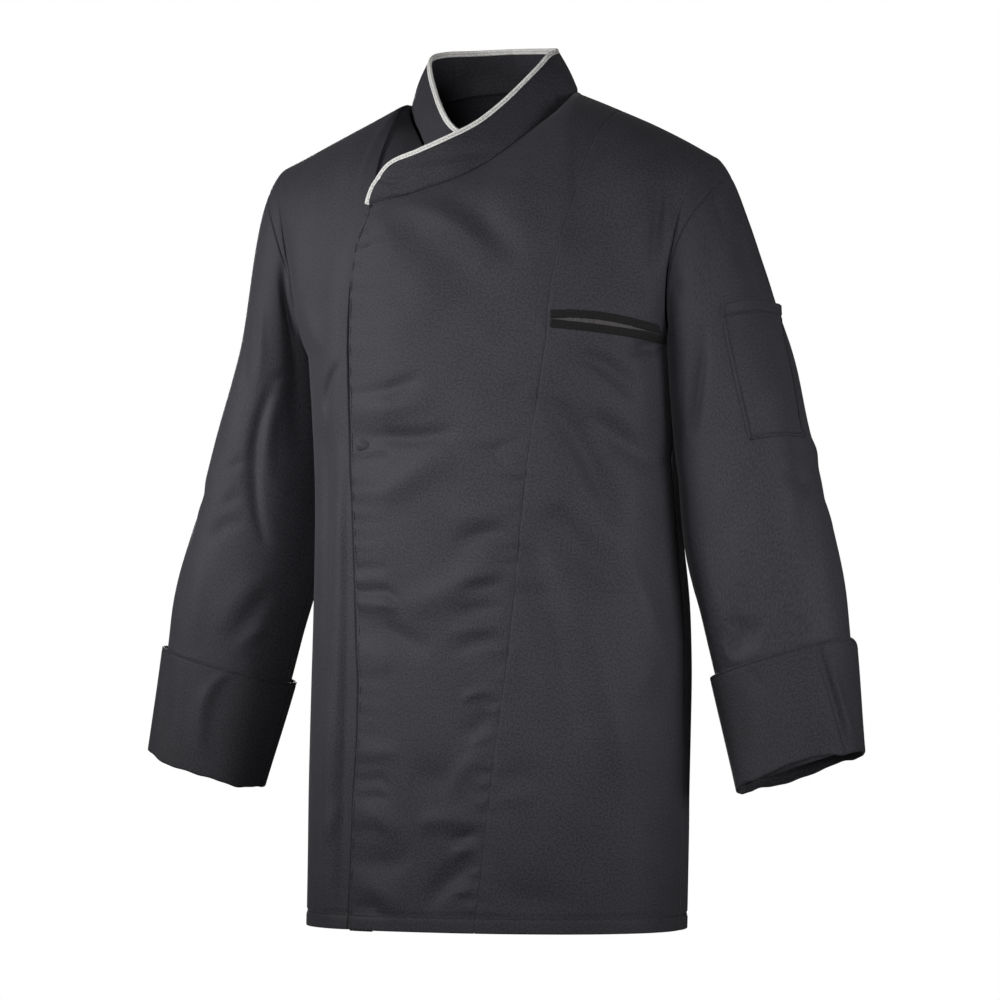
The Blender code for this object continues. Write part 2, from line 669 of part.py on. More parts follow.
def collar_point(station, height):
    """Point of the collar's outer face: height 0 at the seam and 1 at the edge."""
    seam = collar_line("seam", station)
    edge = collar_line("edge", station)
    height = np.asarray(height)[..., None]
    bulge = np.sin(height * math.pi) * COLLAR_BOW * np.linalg.norm(edge - seam, axis=-1, keepdims=True)
    outward = (seam + edge) / 2 * np.array([1.0, 1.0, 0.0])
    outward /= np.linalg.norm(outward, axis=-1, keepdims=True)
    return seam + (edge - seam) * height + outward * bulge


def collar_frame(station):
    """At the collar's edge: the point, the way up the band and the way into the wall."""
    edge = collar_line("edge", station)
    up = edge - collar_line("seam", station)
    along = collar_line("edge", station + 0.05) - edge
    inward = np.cross(up, along)
    inward /= np.linalg.norm(inward, axis=-1, keepdims=True)
    up = np.cross(along, inward)
    up /= np.linalg.norm(up, axis=-1, keepdims=True)
    return edge, up, inward


def add_collar(cloth, piping, collection):
    stations = collar_stations()
    heights = np.linspace(0.0, 1.0, COLLAR_ROWS + 1)
    grid = np.array([collar_point(stations, np.full(stations.shape, h)) for h in heights])
    grid[0, 1:-1:2] = (grid[0, 0:-2:2] + grid[0, 2::2]) / 2
    grid[0, :, 2] += COLLAR_LIFT
    add_wall("collar", grid, COLLAR_WALL, cloth, collection)
    add_piping(piping, collection)


def piping_route():
    """Middle of the piping: up the overlap's end and along the collar's free edge."""
    stations = collar_stations()
    edge, up, inward = collar_frame(stations)
    lift = PIPING_RADIUS + PIPING_GAP
    top = edge + inward * COLLAR_WALL / 2 + up * lift
    heights = np.linspace(0.08, 0.92, PIPING_END_POINTS)
    end = collar_point(np.zeros(PIPING_END_POINTS), heights)
    beside = end - collar_point(np.full(PIPING_END_POINTS, 0.25), heights)
    rising = (end[-1] - end[0]) / np.linalg.norm(end[-1] - end[0])
    beside -= (beside @ rising)[:, None] * rising
    beside /= np.linalg.norm(beside, axis=-1, keepdims=True)
    side = end + beside * lift + inward[0] * COLLAR_WALL / 2
    corner = (side[-1] + top[0]) / 2 + (beside[-1] + up[0]) * lift * 0.25
    return np.concatenate([side, corner[None], top])


def add_piping(material, collection):
    curve = bpy.data.curves.new("collar_piping", "CURVE")
    curve.dimensions = "3D"
    curve.bevel_depth = PIPING_RADIUS
    curve.bevel_resolution = 2
    curve.use_fill_caps = True
    route = piping_route()
    spline = curve.splines.new("POLY")
    spline.points.add(len(route) - 1)
    for point, place in zip(spline.points, route):
        point.co = (*place, 1.0)
    curve.materials.append(material)
    collection.objects.link(bpy.data.objects.new("collar_piping", curve))


def find_on_front(x, z):
    """Columns and levels of the points of the left front at distances x and heights z."""
    goal = np.stack([x, z], -1)
    place = np.stack([column_at(x, z), (z - UNDERARM) / (UNDERARM - HEM)], -1)
    for _ in range(SEARCH_STEPS):
        column, level = place.T
        here = left_front(column, level)[:, [0, 2]]
        over = left_front(column + NORMAL_STEP, level)[:, [0, 2]] - here
        up = left_front(column, level + NORMAL_STEP)[:, [0, 2]] - here
        steps = np.linalg.solve(np.stack([over, up], -1), (goal - here)[..., None])[..., 0]
        place = place + np.clip(steps, -SEARCH_REACH, SEARCH_REACH) * NORMAL_STEP
    return place.T


def front_offset(column, level, off):
    """Points at the distance off from the left front's face."""
    here = left_front(column, level)
    over = left_front(column + NORMAL_STEP, level) - here
    up = left_front(column, level + NORMAL_STEP) - here
    normal = np.cross(over, up)
    normal /= np.linalg.norm(normal, axis=-1, keepdims=True)
    return here + normal * off


def add_chest_pocket(welt, collection):
    """Two narrow welts with a slit between them, on the left side panel."""
    share = np.linspace(0.0, 1.0, POCKET_COLUMNS + 1)
    opening = WELT_GAP + SLIT_WIDTH * np.sin(math.pi * share)
    for name, sign in (("pocket_welt_upper", 1.0), ("pocket_welt_lower", -1.0)):
        near = sign * opening / 2
        far = near + sign * WELT_WIDTH
        rows = [welt_line(share, offset) for offset in (near, (near + far) / 2, far)]
        add_wall(name, np.array(rows), WELT_WALL, welt, collection, flip=sign < 0)


def welt_line(share, offset):
    """Points of a welt's outer face at shares of the pocket's length, offset up from its slit."""
    x = np.interp(share, (0, 1), (POCKET_INNER[0], POCKET_OUTER[0]))
    z = np.interp(share, (0, 1), (POCKET_INNER[1], POCKET_OUTER[1]))
    z = z + POCKET_BOW * np.sin(math.pi * share) + offset
    return front_offset(*find_on_front(x, z), TRIM_GAP + WELT_WALL)


def add_sleeve_pocket(cloth, collection):
    """Patch pocket on the outer side of the left sleeve."""
    turns = np.linspace(*PATCH_TURNS, PATCH_COLUMNS + 1)
    rows = []
    for along in np.linspace(*PATCH_SPAN, PATCH_ROWS + 1):
        rows.append(offset_sleeve(turns, along, PATCH_WALL + TRIM_GAP, 1))
    add_wall("sleeve_pocket", np.array(rows), PATCH_WALL, cloth, collection)


def build():
    for old in list(bpy.data.objects):
        bpy.data.objects.remove(old, do_unlink=True)
    collection = bpy.data.collections.new("chef_jacket")
    bpy.context.scene.collection.children.link(collection)
    cloth = make_material("charcoal_twill", CLOTH_COLOUR, 0.75)
    piping = make_material("grey_piping", PIPING_COLOUR, 0.60)
    welt = make_material("black_welt", WELT_COLOUR, 0.80)
    add_body(cloth, collection)
    add_sleeve("sleeve_left", 1, cloth, collection)
    add_sleeve("sleeve_right", -1, cloth, collection)
    add_cuff("cuff_left", 1, cloth, collection)
    add_cuff("cuff_right", -1, cloth, collection)
    add_collar(cloth, piping, collection)
    add_chest_pocket(welt, collection)
    add_sleeve_pocket(cloth, collection)


build()
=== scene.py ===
"""Chef jacket as it looks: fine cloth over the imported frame, with its folds, seams and stitches.

Metres, +Z up, +X to the wearer's left, the front faces -Y. The tables and surfaces are the
part's own; what is finer than its solids is laid out from them.
"""

import math

import bpy
import numpy as np
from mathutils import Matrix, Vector


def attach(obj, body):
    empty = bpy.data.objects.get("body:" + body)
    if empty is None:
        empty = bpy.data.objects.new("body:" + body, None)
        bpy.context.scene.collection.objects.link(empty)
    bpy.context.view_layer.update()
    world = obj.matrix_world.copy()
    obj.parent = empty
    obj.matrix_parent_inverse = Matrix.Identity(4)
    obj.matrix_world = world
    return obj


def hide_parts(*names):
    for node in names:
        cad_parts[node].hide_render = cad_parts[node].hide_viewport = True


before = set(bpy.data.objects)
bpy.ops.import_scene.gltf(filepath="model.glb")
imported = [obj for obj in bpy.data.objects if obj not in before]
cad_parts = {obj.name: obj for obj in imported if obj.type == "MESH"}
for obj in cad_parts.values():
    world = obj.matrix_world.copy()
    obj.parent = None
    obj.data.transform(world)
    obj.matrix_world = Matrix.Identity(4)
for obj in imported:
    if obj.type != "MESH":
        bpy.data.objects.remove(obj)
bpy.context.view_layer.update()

COLLAR_WALL = 0.0022
CUFF_WALL = 0.0030
UNDERLAP_DEPTH = 0.0050
UNDERLAP_EXTRA = 0.0190

# Heights of the body
HEM = -0.792
UNDERARM = -0.245
SHOULDER_DROP = -0.057
SHOULDER_HALF = 0.224
SHOULDER_LEAN = 0.010
SHOULDER_HEIGHTS = (-0.240, -0.100)
COLLAR_LEAN = 0.05
COLLAR_SHIFT = 0.0020
COLLAR_HEIGHTS = (0.010, 0.050)
UNDERLAP_EDGE = 0.070

# Where the right front gives way: from its open part to the overlap, past the centre, up the
# body and towards the front
TUCK_ACROSS = (-0.130, -0.095)
TUCK_PAST = (-0.030, 0.015)
TUCK_HEIGHT = (-0.240, -0.140)
TUCK_FORWARD = (0.010, 0.045)

# Body sections below the underarm, level: half width, depth of front and of back from Y = 0,
# and how far the ring is shifted to the wearer's left. Ways out of a section's points are
# measured as on an ellipse this much wider than deep.
SECTION_POWER = 2.3
SECTION_ROUNDNESS = 1.6
BODY_SECTIONS = [
    dict(z=-0.792, half=0.185, front=0.121, back=0.126, shift=0.002),
    dict(z=-0.680, half=0.186, front=0.120, back=0.124, shift=0.004),
    dict(z=-0.500, half=0.185, front=0.118, back=0.117, shift=0.0065),
    dict(z=-0.380, half=0.180, front=0.118, back=0.110, shift=0.003),
    dict(z=-0.245, half=0.184, front=0.118, back=0.116, shift=0.000),
]

# Collar from centre back round the left side to the end of the overlap: the body column that
# meets it there (-1 to 1 from side seam to side seam, 0 at the centre; the first three rows
# meet the back, the rest the front), its seam with the body, its free edge, and how strongly
# that column comes from further out, leans towards the neck and rises where it arrives
COLLAR = [
    dict(column=0.00, seam=(0.000, 0.072, 0.0265), edge=(0.000, 0.060, 0.0615),
         out=0.00, lean=0.11, rise=0.13),
    dict(column=0.22, seam=(0.045, 0.062, 0.0230), edge=(0.037, 0.051, 0.0590),
         out=0.04, lean=0.14, rise=0.12),
    dict(column=0.36, seam=(0.0735, 0.034, 0.0120), edge=(0.060, 0.027, 0.0535),
         out=0.09, lean=0.20, rise=0.08),
    dict(column=4 / 9, seam=(0.085, 0.002, 0.0055), edge=(0.0635, -0.004, 0.043),
         out=0.06, lean=0.26, rise=0.04),
    dict(column=0.40, seam=(0.077, -0.016, -0.013), edge=(0.0585, -0.022, 0.026),
         out=0.04, lean=0.25, rise=0.06),
    dict(column=0.34, seam=(0.065, -0.034, -0.029), edge=(0.048, -0.040, 0.006),
         out=0.02, lean=0.22, rise=0.09),
    dict(column=0.26, seam=(0.047, -0.059, -0.051), edge=(0.033, -0.059, -0.0165),
         out=0.0, lean=0.17, rise=0.12),
    dict(column=0.15, seam=(0.027, -0.079, -0.0715), edge=(0.015, -0.078, -0.037),
         out=0.0, lean=0.11, rise=0.14),
    dict(column=0.03, seam=(0.002, -0.0945, -0.088), edge=(-0.007, -0.093, -0.0515),
         out=0.0, lean=0.07, rise=0.15),
    dict(column=-0.10, seam=(-0.029, -0.101, -0.0985), edge=(-0.034, -0.1, -0.0635),
         out=0.0, lean=0.05, rise=0.14),
    dict(column=-0.20, seam=(-0.059, -0.103, -0.1055), edge=(-0.063, -0.102, -0.0745),
         out=0.0, lean=0.04, rise=0.13),
    dict(column=-0.29, seam=(-0.085, -0.1035, -0.111), edge=(-0.079, -0.103, -0.094),
         out=0.0, lean=0.03, rise=0.13),
]
NECK_ROW = 3
NECK_COLUMN = COLLAR[NECK_ROW]["column"]

# Shoulder line from the collar to the armhole, where the outer body columns arrive
SHOULDER = [
    dict(point=COLLAR[NECK_ROW]["seam"], column=NECK_COLUMN, out=0.06, lean=0.26, rise=0.04),
    dict(point=(0.1520, 0.0040, -0.0225), column=0.70, out=0.01, lean=0.25, rise=0.04),
    dict(point=(SHOULDER_HALF, 0.010, SHOULDER_DROP), column=1.00, out=-0.03, lean=0.22, rise=0.03),
]
COLUMN_RISE = 0.28
ARMHOLE_FORWARD = 0.200
ARMHOLE_BACK = 0.260
ARMHOLE_RISE = 0.060
ARMHOLE_FROM_COLUMN = 0.50

# Slanted seam between the two panels of the left front: height and distance from the centre
# below the underarm. Above it the seam runs to the shoulder, and this share of the centre
# panel's top meets the collar.
PANEL_SEAM = [
    dict(z=-0.795, x=0.028),
    dict(z=-0.620, x=0.045),
    dict(z=-0.500, x=0.059),
    dict(z=-0.380, x=0.0735),
    dict(z=-0.245, x=0.096),
]
PANEL_NECK_SHARE = 0.8

# Sleeve sections across the arm, mirrored for the right arm: centre, half width and half
# depth of the section, how far its outer side is tipped up, and by how many degrees its
# front is turned towards the body
SLEEVE_POWER = 2.2
SLEEVE_SECTIONS = [
    dict(centre=(0.2320, 0.024, -0.250), half=0.0450, depth=0.070, tip=0.016, twist=14.0),
    dict(centre=(0.2440, 0.024, -0.335), half=0.0590, depth=0.067, tip=0.014, twist=8.0),
    dict(centre=(0.2595, 0.017, -0.420), half=0.0670, depth=0.060, tip=0.016, twist=0.0),
    dict(centre=(0.2780, 0.011, -0.495), half=0.0660, depth=0.053, tip=0.018, twist=0.0),
    dict(centre=(0.2860, 0.009, -0.540), half=0.0628, depth=0.048, tip=0.018, twist=0.0),
    dict(centre=(0.3050, -0.002, -0.643), half=0.0555, depth=0.041, tip=0.018, twist=0.0),
]
SLEEVE_LEAVE = 0.056
SLEEVE_GIRTH = 0.40
SLEEVE_LENGTH = 0.60

# Steps, in turns, columns or levels, for directions on a surface, and how many and how long
# steps find a point on it
NORMAL_STEP = 0.004
SEARCH_STEPS = 12
SEARCH_REACH = 20.0

# Turned-back cuff: where it starts along the sleeve, how far it stands off and flares, how
# far its lower edge reaches in, how deep it rolls below the sleeve's end and its gap to it
CUFF_TOP = 0.790
CUFF_STAND = 0.0015
CUFF_FLARE = 0.0012
CUFF_LIP = 0.0042
CUFF_ROLL = 0.0036

# Collar band, and the piping on its edge
COLLAR_BOW = 0.045

# Soft folds pressed into the walls: distance across and height of both ends, half width and
# depth (minus is a trough). Front folds count from the centre to the wearer's left.
# A fold's ends keep this share of its depth.
FOLD_END = 0.35
FRONT_FOLDS = [
    dict(x0=-0.025, z0=-0.150, x1=0.060, z1=-0.220, width=0.022, depth=-0.0035),
    dict(x0=-0.050, z0=-0.170, x1=0.020, z1=-0.240, width=0.024, depth=0.0025),
    dict(x0=0.110, z0=-0.300, x1=0.158, z1=-0.380, width=0.022, depth=-0.0035),
    dict(x0=0.085, z0=-0.400, x1=0.135, z1=-0.480, width=0.024, depth=-0.0030),
    dict(x0=0.075, z0=-0.490, x1=0.110, z1=-0.640, width=0.026, depth=-0.0030),
    dict(x0=0.140, z0=-0.520, x1=0.165, z1=-0.660, width=0.024, depth=0.0030),
]
RIGHT_FOLDS = [
    dict(x0=-0.117, z0=-0.420, x1=-0.120, z1=-0.640, width=0.022, depth=0.0028),
    dict(x0=-0.150, z0=-0.270, x1=-0.135, z1=-0.400, width=0.022, depth=-0.0030),
]
BACK_FOLDS = [
    dict(x0=-0.110, z0=-0.190, x1=-0.060, z1=-0.330, width=0.020, depth=-0.0030),
    dict(x0=0.115, z0=-0.200, x1=0.075, z1=-0.350, width=0.020, depth=-0.0030),
    dict(x0=-0.060, z0=-0.450, x1=-0.085, z1=-0.640, width=0.022, depth=0.0030),
    dict(x0=0.045, z0=-0.480, x1=0.065, z1=-0.700, width=0.022, depth=0.0030),
    dict(x0=-0.010, z0=-0.420, x1=0.030, z1=-0.520, width=0.020, depth=-0.0025),
]
# Sleeve folds: turns round the section and share of the length for both ends
SLEEVE_FOLDS = [
    dict(turn0=0.02, along0=0.36, turn1=0.10, along1=0.60, width=0.014, depth=-0.0035),
    dict(turn0=0.95, along0=0.52, turn1=0.12, along1=0.47, width=0.012, depth=-0.0030),
    dict(turn0=0.90, along0=0.44, turn1=0.02, along1=0.40, width=0.012, depth=0.0025),
    dict(turn0=0.55, along0=0.30, turn1=0.48, along1=0.62, width=0.015, depth=0.0030),
    dict(turn0=0.72, along0=0.46, turn1=0.60, along1=0.50, width=0.012, depth=-0.0030),
]
RIGHT_COLUMNS = 13
RIGHT_SHOULDER_COLUMNS = 7

# Camera: place, aim, lens and sensor width in mm, and the side of the photo in pixels
CAMERA_PLACE = (1.12657, -2.77047, -0.62138)
CAMERA_AIM = (0.00621, 0.00251, -0.386)
CAMERA_LENS = 112.5
CAMERA_SENSOR = 36.0
PHOTO_SIDE = 1000

# Cloth of the shells, and their steps along and across
CLOTH = 0.0011
STEP = 0.0031
FINE_STEP = 0.0010
GRADE = 0.016
BODY_LOW = 0.547
BODY_HIGH = 0.190
NECK_DIVE = 0.0010

# Flat widths that set how many columns the body's grids have
PANEL_WIDTH = 0.155
RIGHT_WIDTH = 0.270
BACK_WIDTH = 0.470

# Seams: how deep their groove is and how wide
GROOVE = 0.0011
GROOVE_WIDTH = 0.0018

# Turned-under edges: reach inside and radius of the fold; their stitch lines; the small step
# where the hem is doubled, and how far any such step takes to rise
HEM_REACH = 0.016
HEM_RADIUS = 0.0013
HEM_STITCH = 0.0140
HEM_STEP = 0.0003
EDGE_RAMP = 0.001
PLACKET_REACH = 0.026
PLACKET_RADIUS = 0.0017
PLACKET_STITCH = 0.0028

# Creases marked in the photo. Each MARKS row holds pixels of its 1000 x 1000 frame: x and y
# of the crease's start, middle and end; then its half width, how far it moves the cloth out and
# its skew. place_marks works out where the marks lie on the cloth.
# Each CREASES row is set on the cloth: from x, z to x, z, how far the middle is bent to
# the left of that way, half width, how far it moves the cloth out, and its skew.
# Left front, both panels
LEFT_MARKS = [
    (398, 200, 452, 222, 490, 262, 0.012, 0.0025, 0),
    (385, 215, 425, 240, 480, 265, 0.016, -0.0018, 0),
    (448, 196, 484, 222, 520, 262, 0.013, -0.0036, 0.2),
    (560, 240, 610, 215, 655, 180, 0.02, -0.002, 0),
    (495, 172, 530, 176, 580, 182, 0.007, -0.001, 0),
    (352, 400, 385, 392, 420, 378, 0.0065, -0.0022, 0),
    (350, 410, 385, 408, 430, 398, 0.01, 0.0022, 0),
    (350, 430, 395, 438, 455, 430, 0.008, -0.0036, 0),
    (370, 500, 410, 478, 455, 450, 0.014, 0.0026, 0),
    (475, 448, 492, 454, 508, 468, 0.005, -0.0018, 0),
    (488, 453, 505, 446, 522, 440, 0.004, -0.0012, 0),
    (500, 388, 512, 390, 526, 386, 0.005, -0.0014, 0),
    (352, 568, 368, 572, 384, 565, 0.0045, -0.0026, 0),
    (352, 580, 366, 581, 380, 580, 0.0045, 0.002, 0),
    (352, 595, 380, 588, 397, 599, 0.0045, -0.0024, 0),
    (352, 603, 375, 603, 397, 606, 0.005, 0.0026, 0),
    (352, 613, 390, 634, 430, 650, 0.011, -0.003, 0),
    (405, 606, 450, 590, 500, 550, 0.014, 0.003, 0),
    (460, 578, 482, 575, 505, 572, 0.006, 0.0014, 0),
    (455, 545, 480, 536, 505, 530, 0.008, -0.0028, 0),
    (448, 518, 478, 514, 508, 512, 0.009, 0.0014, 0),
    (462, 592, 482, 588, 502, 584, 0.006, -0.0014, 0),
    (452, 616, 478, 611, 502, 604, 0.008, -0.0022, 0),
    (450, 632, 474, 629, 498, 627, 0.006, 0.0014, 0),
    (450, 655, 476, 644, 498, 640, 0.007, -0.0018, 0),
    (462, 698, 480, 693, 494, 690, 0.0045, 0.0024, 0),
    (458, 736, 474, 728, 488, 716, 0.009, -0.0022, 0),
    (470, 743, 480, 740, 492, 737, 0.004, 0.0018, 0),
    (452, 788, 470, 765, 490, 748, 0.008, 0.0018, 0),
    (420, 822, 452, 821, 481, 822, 0.009, 0.003, 0),
    (448, 842, 462, 838, 477, 830, 0.005, -0.0022, 0),
    (450, 858, 464, 849, 477, 845, 0.005, 0.002, 0),
    (424, 908, 446, 880, 476, 860, 0.01, -0.0036, 0),
    (452, 893, 462, 891, 472, 887, 0.004, 0.002, 0),
    (354, 652, 370, 658, 388, 668, 0.008, 0.0022, 0),
    (352, 751, 375, 752, 400, 752, 0.007, 0.0016, 0),
    (354, 764, 368, 772, 388, 788, 0.005, -0.002, 0),
    (354, 782, 368, 791, 388, 801, 0.005, -0.0018, 0),
    (354, 804, 376, 814, 400, 836, 0.009, 0.0028, 0),
    (355, 848, 385, 862, 412, 852, 0.012, -0.0022, 0),
    (352, 876, 376, 888, 404, 908, 0.011, 0.0022, 0),
    (351, 889, 364, 902, 382, 916, 0.0055, -0.0032, 0),
    (408, 775, 430, 780, 455, 775, 0.015, -0.002, 0),
    (548, 400, 582, 448, 614, 528, 0.01, -0.0056, 0.3),
    (588, 414, 620, 442, 662, 472, 0.011, -0.0046, 0.2),
    (578, 353, 612, 372, 636, 397, 0.008, -0.004, 0.2),
    # This one ends a fifth of a pixel further out than it was picked, clear of a tie
    (625, 353, 642, 350, 660.2, 345, 0.0055, -0.0022, 0),
    (548, 506, 578, 545, 614, 594, 0.012, -0.0052, 0.2),
    (527, 543, 550, 630, 574, 738, 0.011, -0.0052, 0.3),
    (508, 590, 525, 592, 546, 599, 0.008, -0.0018, 0),
    (552, 556, 590, 655, 632, 788, 0.012, 0.003, 0),
    (630, 556, 648, 610, 664, 650, 0.007, 0.0026, 0),
    (655, 655, 645, 685, 624, 703, 0.006, 0.001, 0),
    (500, 775, 515, 778, 534, 784, 0.013, -0.0018, 0),
    (498, 797, 512, 796, 530, 799, 0.007, 0.0012, 0),
    (500, 892, 530, 900, 575, 905, 0.014, -0.0018, 0),
    (600, 255, 622, 242, 645, 222, 0.006, -0.001, 0),
    (668, 184, 675, 205, 679, 240, 0.0035, -0.0016, 0),
    (690, 180, 688, 200, 686, 222, 0.004, -0.0012, 0),
    (664, 345, 650, 346, 636, 345, 0.006, -0.003, 0),
]
LEFT_CREASES = [
    (-0.1, -0.354, -0.06, -0.35, -0.004, 0.006, -0.0028, 0),
    (0.191, -0.095, 0.184, -0.185, 0.0016, 0.005, -0.0042, 0),
]
# Right front
RIGHT_MARKS = [
    (338, 362, 328, 380, 325, 417, 0.0045, -0.003, 0.4),
    (326, 430, 325, 530, 322, 650, 0.008, -0.003, 0),
    (340, 450, 340, 590, 338, 765, 0.0065, 0.0028, 0),
    (305, 300, 312, 330, 322, 352, 0.01, 0.002, 0),
    (335, 250, 342, 215, 352, 180, 0.016, -0.0012, 0),
    (378, 160, 381, 140, 386, 118, 0.006, -0.0008, 0),
    (396, 150, 400, 135, 404, 120, 0.006, 0.0006, 0),
    (338, 800, 332, 820, 326, 845, 0.006, 0.0014, 0),
]
RIGHT_CREASES = [
    (-0.206, -0.098, -0.1835, -0.2007, -0.002, 0.01, -0.0015, 0),
    (-0.112, -0.38, -0.112, -0.785, 0.001, 0.008, -0.0052, 0),
    (-0.131, -0.56, -0.131, -0.785, -0.002, 0.0085, 0.0024, 0),
]
# Creases of the back, by x and z as seen from the front
BACK_CREASES = [
    (-0.170, -0.230, -0.120, -0.330, 0.006, 0.011, -0.0030, 0.2),
    (-0.176, -0.270, -0.135, -0.350, 0.004, 0.009, -0.0026, 0.2),
    (0.172, -0.225, 0.118, -0.322, -0.007, 0.011, -0.0032, -0.2),
    (0.178, -0.275, 0.140, -0.345, -0.004, 0.009, -0.0024, -0.2),
    (-0.150, -0.380, -0.040, -0.410, -0.006, 0.010, -0.0026, 0),
    (-0.120, -0.425, 0.015, -0.440, 0.005, 0.009, 0.0020, 0),
    (0.150, -0.395, 0.050, -0.428, 0.006, 0.010, -0.0028, 0),
    (0.110, -0.450, 0.000, -0.462, -0.005, 0.008, 0.0018, 0),
    (-0.100, -0.470, -0.130, -0.640, 0.008, 0.012, -0.0028, 0.2),
    (-0.050, -0.500, -0.062, -0.690, -0.006, 0.013, 0.0026, 0),
    (0.020, -0.500, 0.034, -0.660, 0.006, 0.012, -0.0026, 0),
    (0.090, -0.480, 0.120, -0.700, -0.008, 0.013, 0.0026, 0),
    (0.140, -0.500, 0.150, -0.640, 0.004, 0.010, -0.0024, 0),
    (-0.020, -0.120, -0.070, -0.200, 0.005, 0.014, -0.0020, 0),
    (0.030, -0.115, 0.080, -0.205, -0.006, 0.014, -0.0022, 0),
    (-0.090, -0.085, -0.150, -0.135, 0.004, 0.010, -0.0014, 0),
    (0.100, -0.090, 0.155, -0.150, -0.004, 0.010, -0.0016, 0),
    (-0.160, -0.560, -0.150, -0.700, 0.005, 0.012, 0.0022, 0),
    (0.010, -0.715, 0.030, -0.785, 0.001, 0.010, -0.0018, 0),
    (-0.110, -0.720, -0.095, -0.786, -0.001, 0.010, -0.0016, 0),
]
# Sleeves and cuffs, whose CREASES rows run from turn, share of the length to the same
SLEEVE_RIGHT_MARKS = [
    (273, 384, 254, 450, 266, 545, 0.0055, -0.0042, 0.2),
    (276, 400, 268, 430, 270, 480, 0.008, 0.002, 0),
    (248, 300, 246, 350, 246, 410, 0.008, -0.0012, 0),
    (262, 300, 261, 340, 259, 382, 0.006, 0.0012, 0),
    (208, 542, 222, 528, 242, 518, 0.008, -0.0014, 0),
    (228, 470, 238, 462, 246, 458, 0.006, -0.001, 0),
    (222, 510, 230, 500, 240, 492, 0.006, -0.001, 0),
    (222, 632, 238, 602, 264, 572, 0.012, 0.0015, 0),
    (228, 645, 246, 618, 270, 592, 0.01, -0.0016, 0),
    (236, 648, 250, 638, 266, 628, 0.007, 0.001, 0),
    (268, 383, 276, 379, 288, 375, 0.006, -0.001, 0),
    (200, 560, 196, 600, 192, 645, 0.01, 0.0012, 0),
]
SLEEVE_RIGHT_CREASES = [
    (0.335, 0, 0.362, 0.36, 0.006, 0.015, -0.0052, 0),
    (0.27, 0, 0.335, 0.11, 0.002, 0.008, -0.0034, 0),
    (0.62, 0.44, 0.8, 0.5, 0.004, 0.009, -0.003, 0),
    (0.6, 0.52, 0.78, 0.6, -0.004, 0.009, -0.0024, 0),
    (0.85, 0.36, 0.95, 0.52, 0.003, 0.01, 0.002, 0),
    (0.72, 0.16, 0.8, 0.34, -0.004, 0.012, -0.0026, 0),
]
SLEEVE_LEFT_MARKS = [
    (672, 282, 680, 290, 685, 302, 0.006, -0.0008, 0),
    (704, 322, 696, 370, 690, 435, 0.008, -0.005, 0.4),
    (722, 180, 717, 203, 727, 228, 0.0045, -0.002, 0),
    (733, 232, 748, 262, 762, 300, 0.01, -0.0018, 0),
    (738, 616, 742, 636, 735, 656, 0.01, -0.003, 0),
    (758, 620, 755, 634, 756, 650, 0.0035, -0.0014, 0),
    (722, 640, 728, 655, 738, 665, 0.005, 0.0016, 0),
    (770, 450, 760, 530, 758, 600, 0.016, 0.0014, 0),
    (800, 500, 808, 560, 815, 620, 0.012, -0.0012, 0),
    (705, 545, 712, 590, 722, 630, 0.008, 0.0012, 0),
]
SLEEVE_LEFT_CREASES = [
    (0.36, 0.03, 0.4, 0.42, 0, 0.02, 0.0032, 0),
    (0.63, 0.43, 0.8, 0.49, 0.004, 0.009, -0.003, 0),
    (0.61, 0.51, 0.77, 0.61, -0.004, 0.009, -0.0024, 0),
    (0.86, 0.45, 0.94, 0.58, 0.003, 0.01, 0.0018, 0),
    (0.73, 0.17, 0.81, 0.33, -0.004, 0.012, -0.0026, 0),
]
CUFF_RIGHT_MARKS = [
    (204, 662, 206, 700, 200, 758, 0.009, 0.0018, 0),
    (236, 664, 214, 690, 205, 745, 0.0055, 0.0026, 0.4),
    (172, 655, 170, 700, 160, 750, 0.01, -0.0012, 0),
    (186, 662, 182, 700, 176, 755, 0.006, 0.0008, 0),
]
CUFF_RIGHT_CREASES = [
    (0.7, 0.8, 0.68, 0.98, 0.002, 0.008, -0.0022, 0),
    (0.84, 0.8, 0.87, 0.98, -0.002, 0.009, 0.0016, 0),
]
CUFF_LEFT_MARKS = [
    (752, 666, 757, 678, 766, 694, 0.0035, -0.0014, 0),
    (800, 660, 806, 700, 810, 752, 0.009, 0.0012, 0),
    (740, 690, 745, 730, 750, 770, 0.01, -0.0012, 0),
]
CUFF_LEFT_CREASES = [
    (0.094, 0.79, 0.098, 0.818, 0, 0.0018, -0.0013, 0),
    (0.11, 0.79, 0.112, 0.824, 0, 0.0018, -0.0015, 0),
    (0.126, 0.79, 0.124, 0.812, 0, 0.0018, -0.0012, 0),
    (0.158, 0.73, 0.075, 1.03, -0.001, 0.0036, -0.0034, 0.4),
    (0.105, 0.822, 0.05, 0.977, -0.006, 0.005, 0.0016, 0),
    (0.66, 0.8, 0.69, 0.98, 0.002, 0.008, -0.0022, 0),
    (0.82, 0.8, 0.8, 0.98, -0.002, 0.009, 0.0016, 0),
]
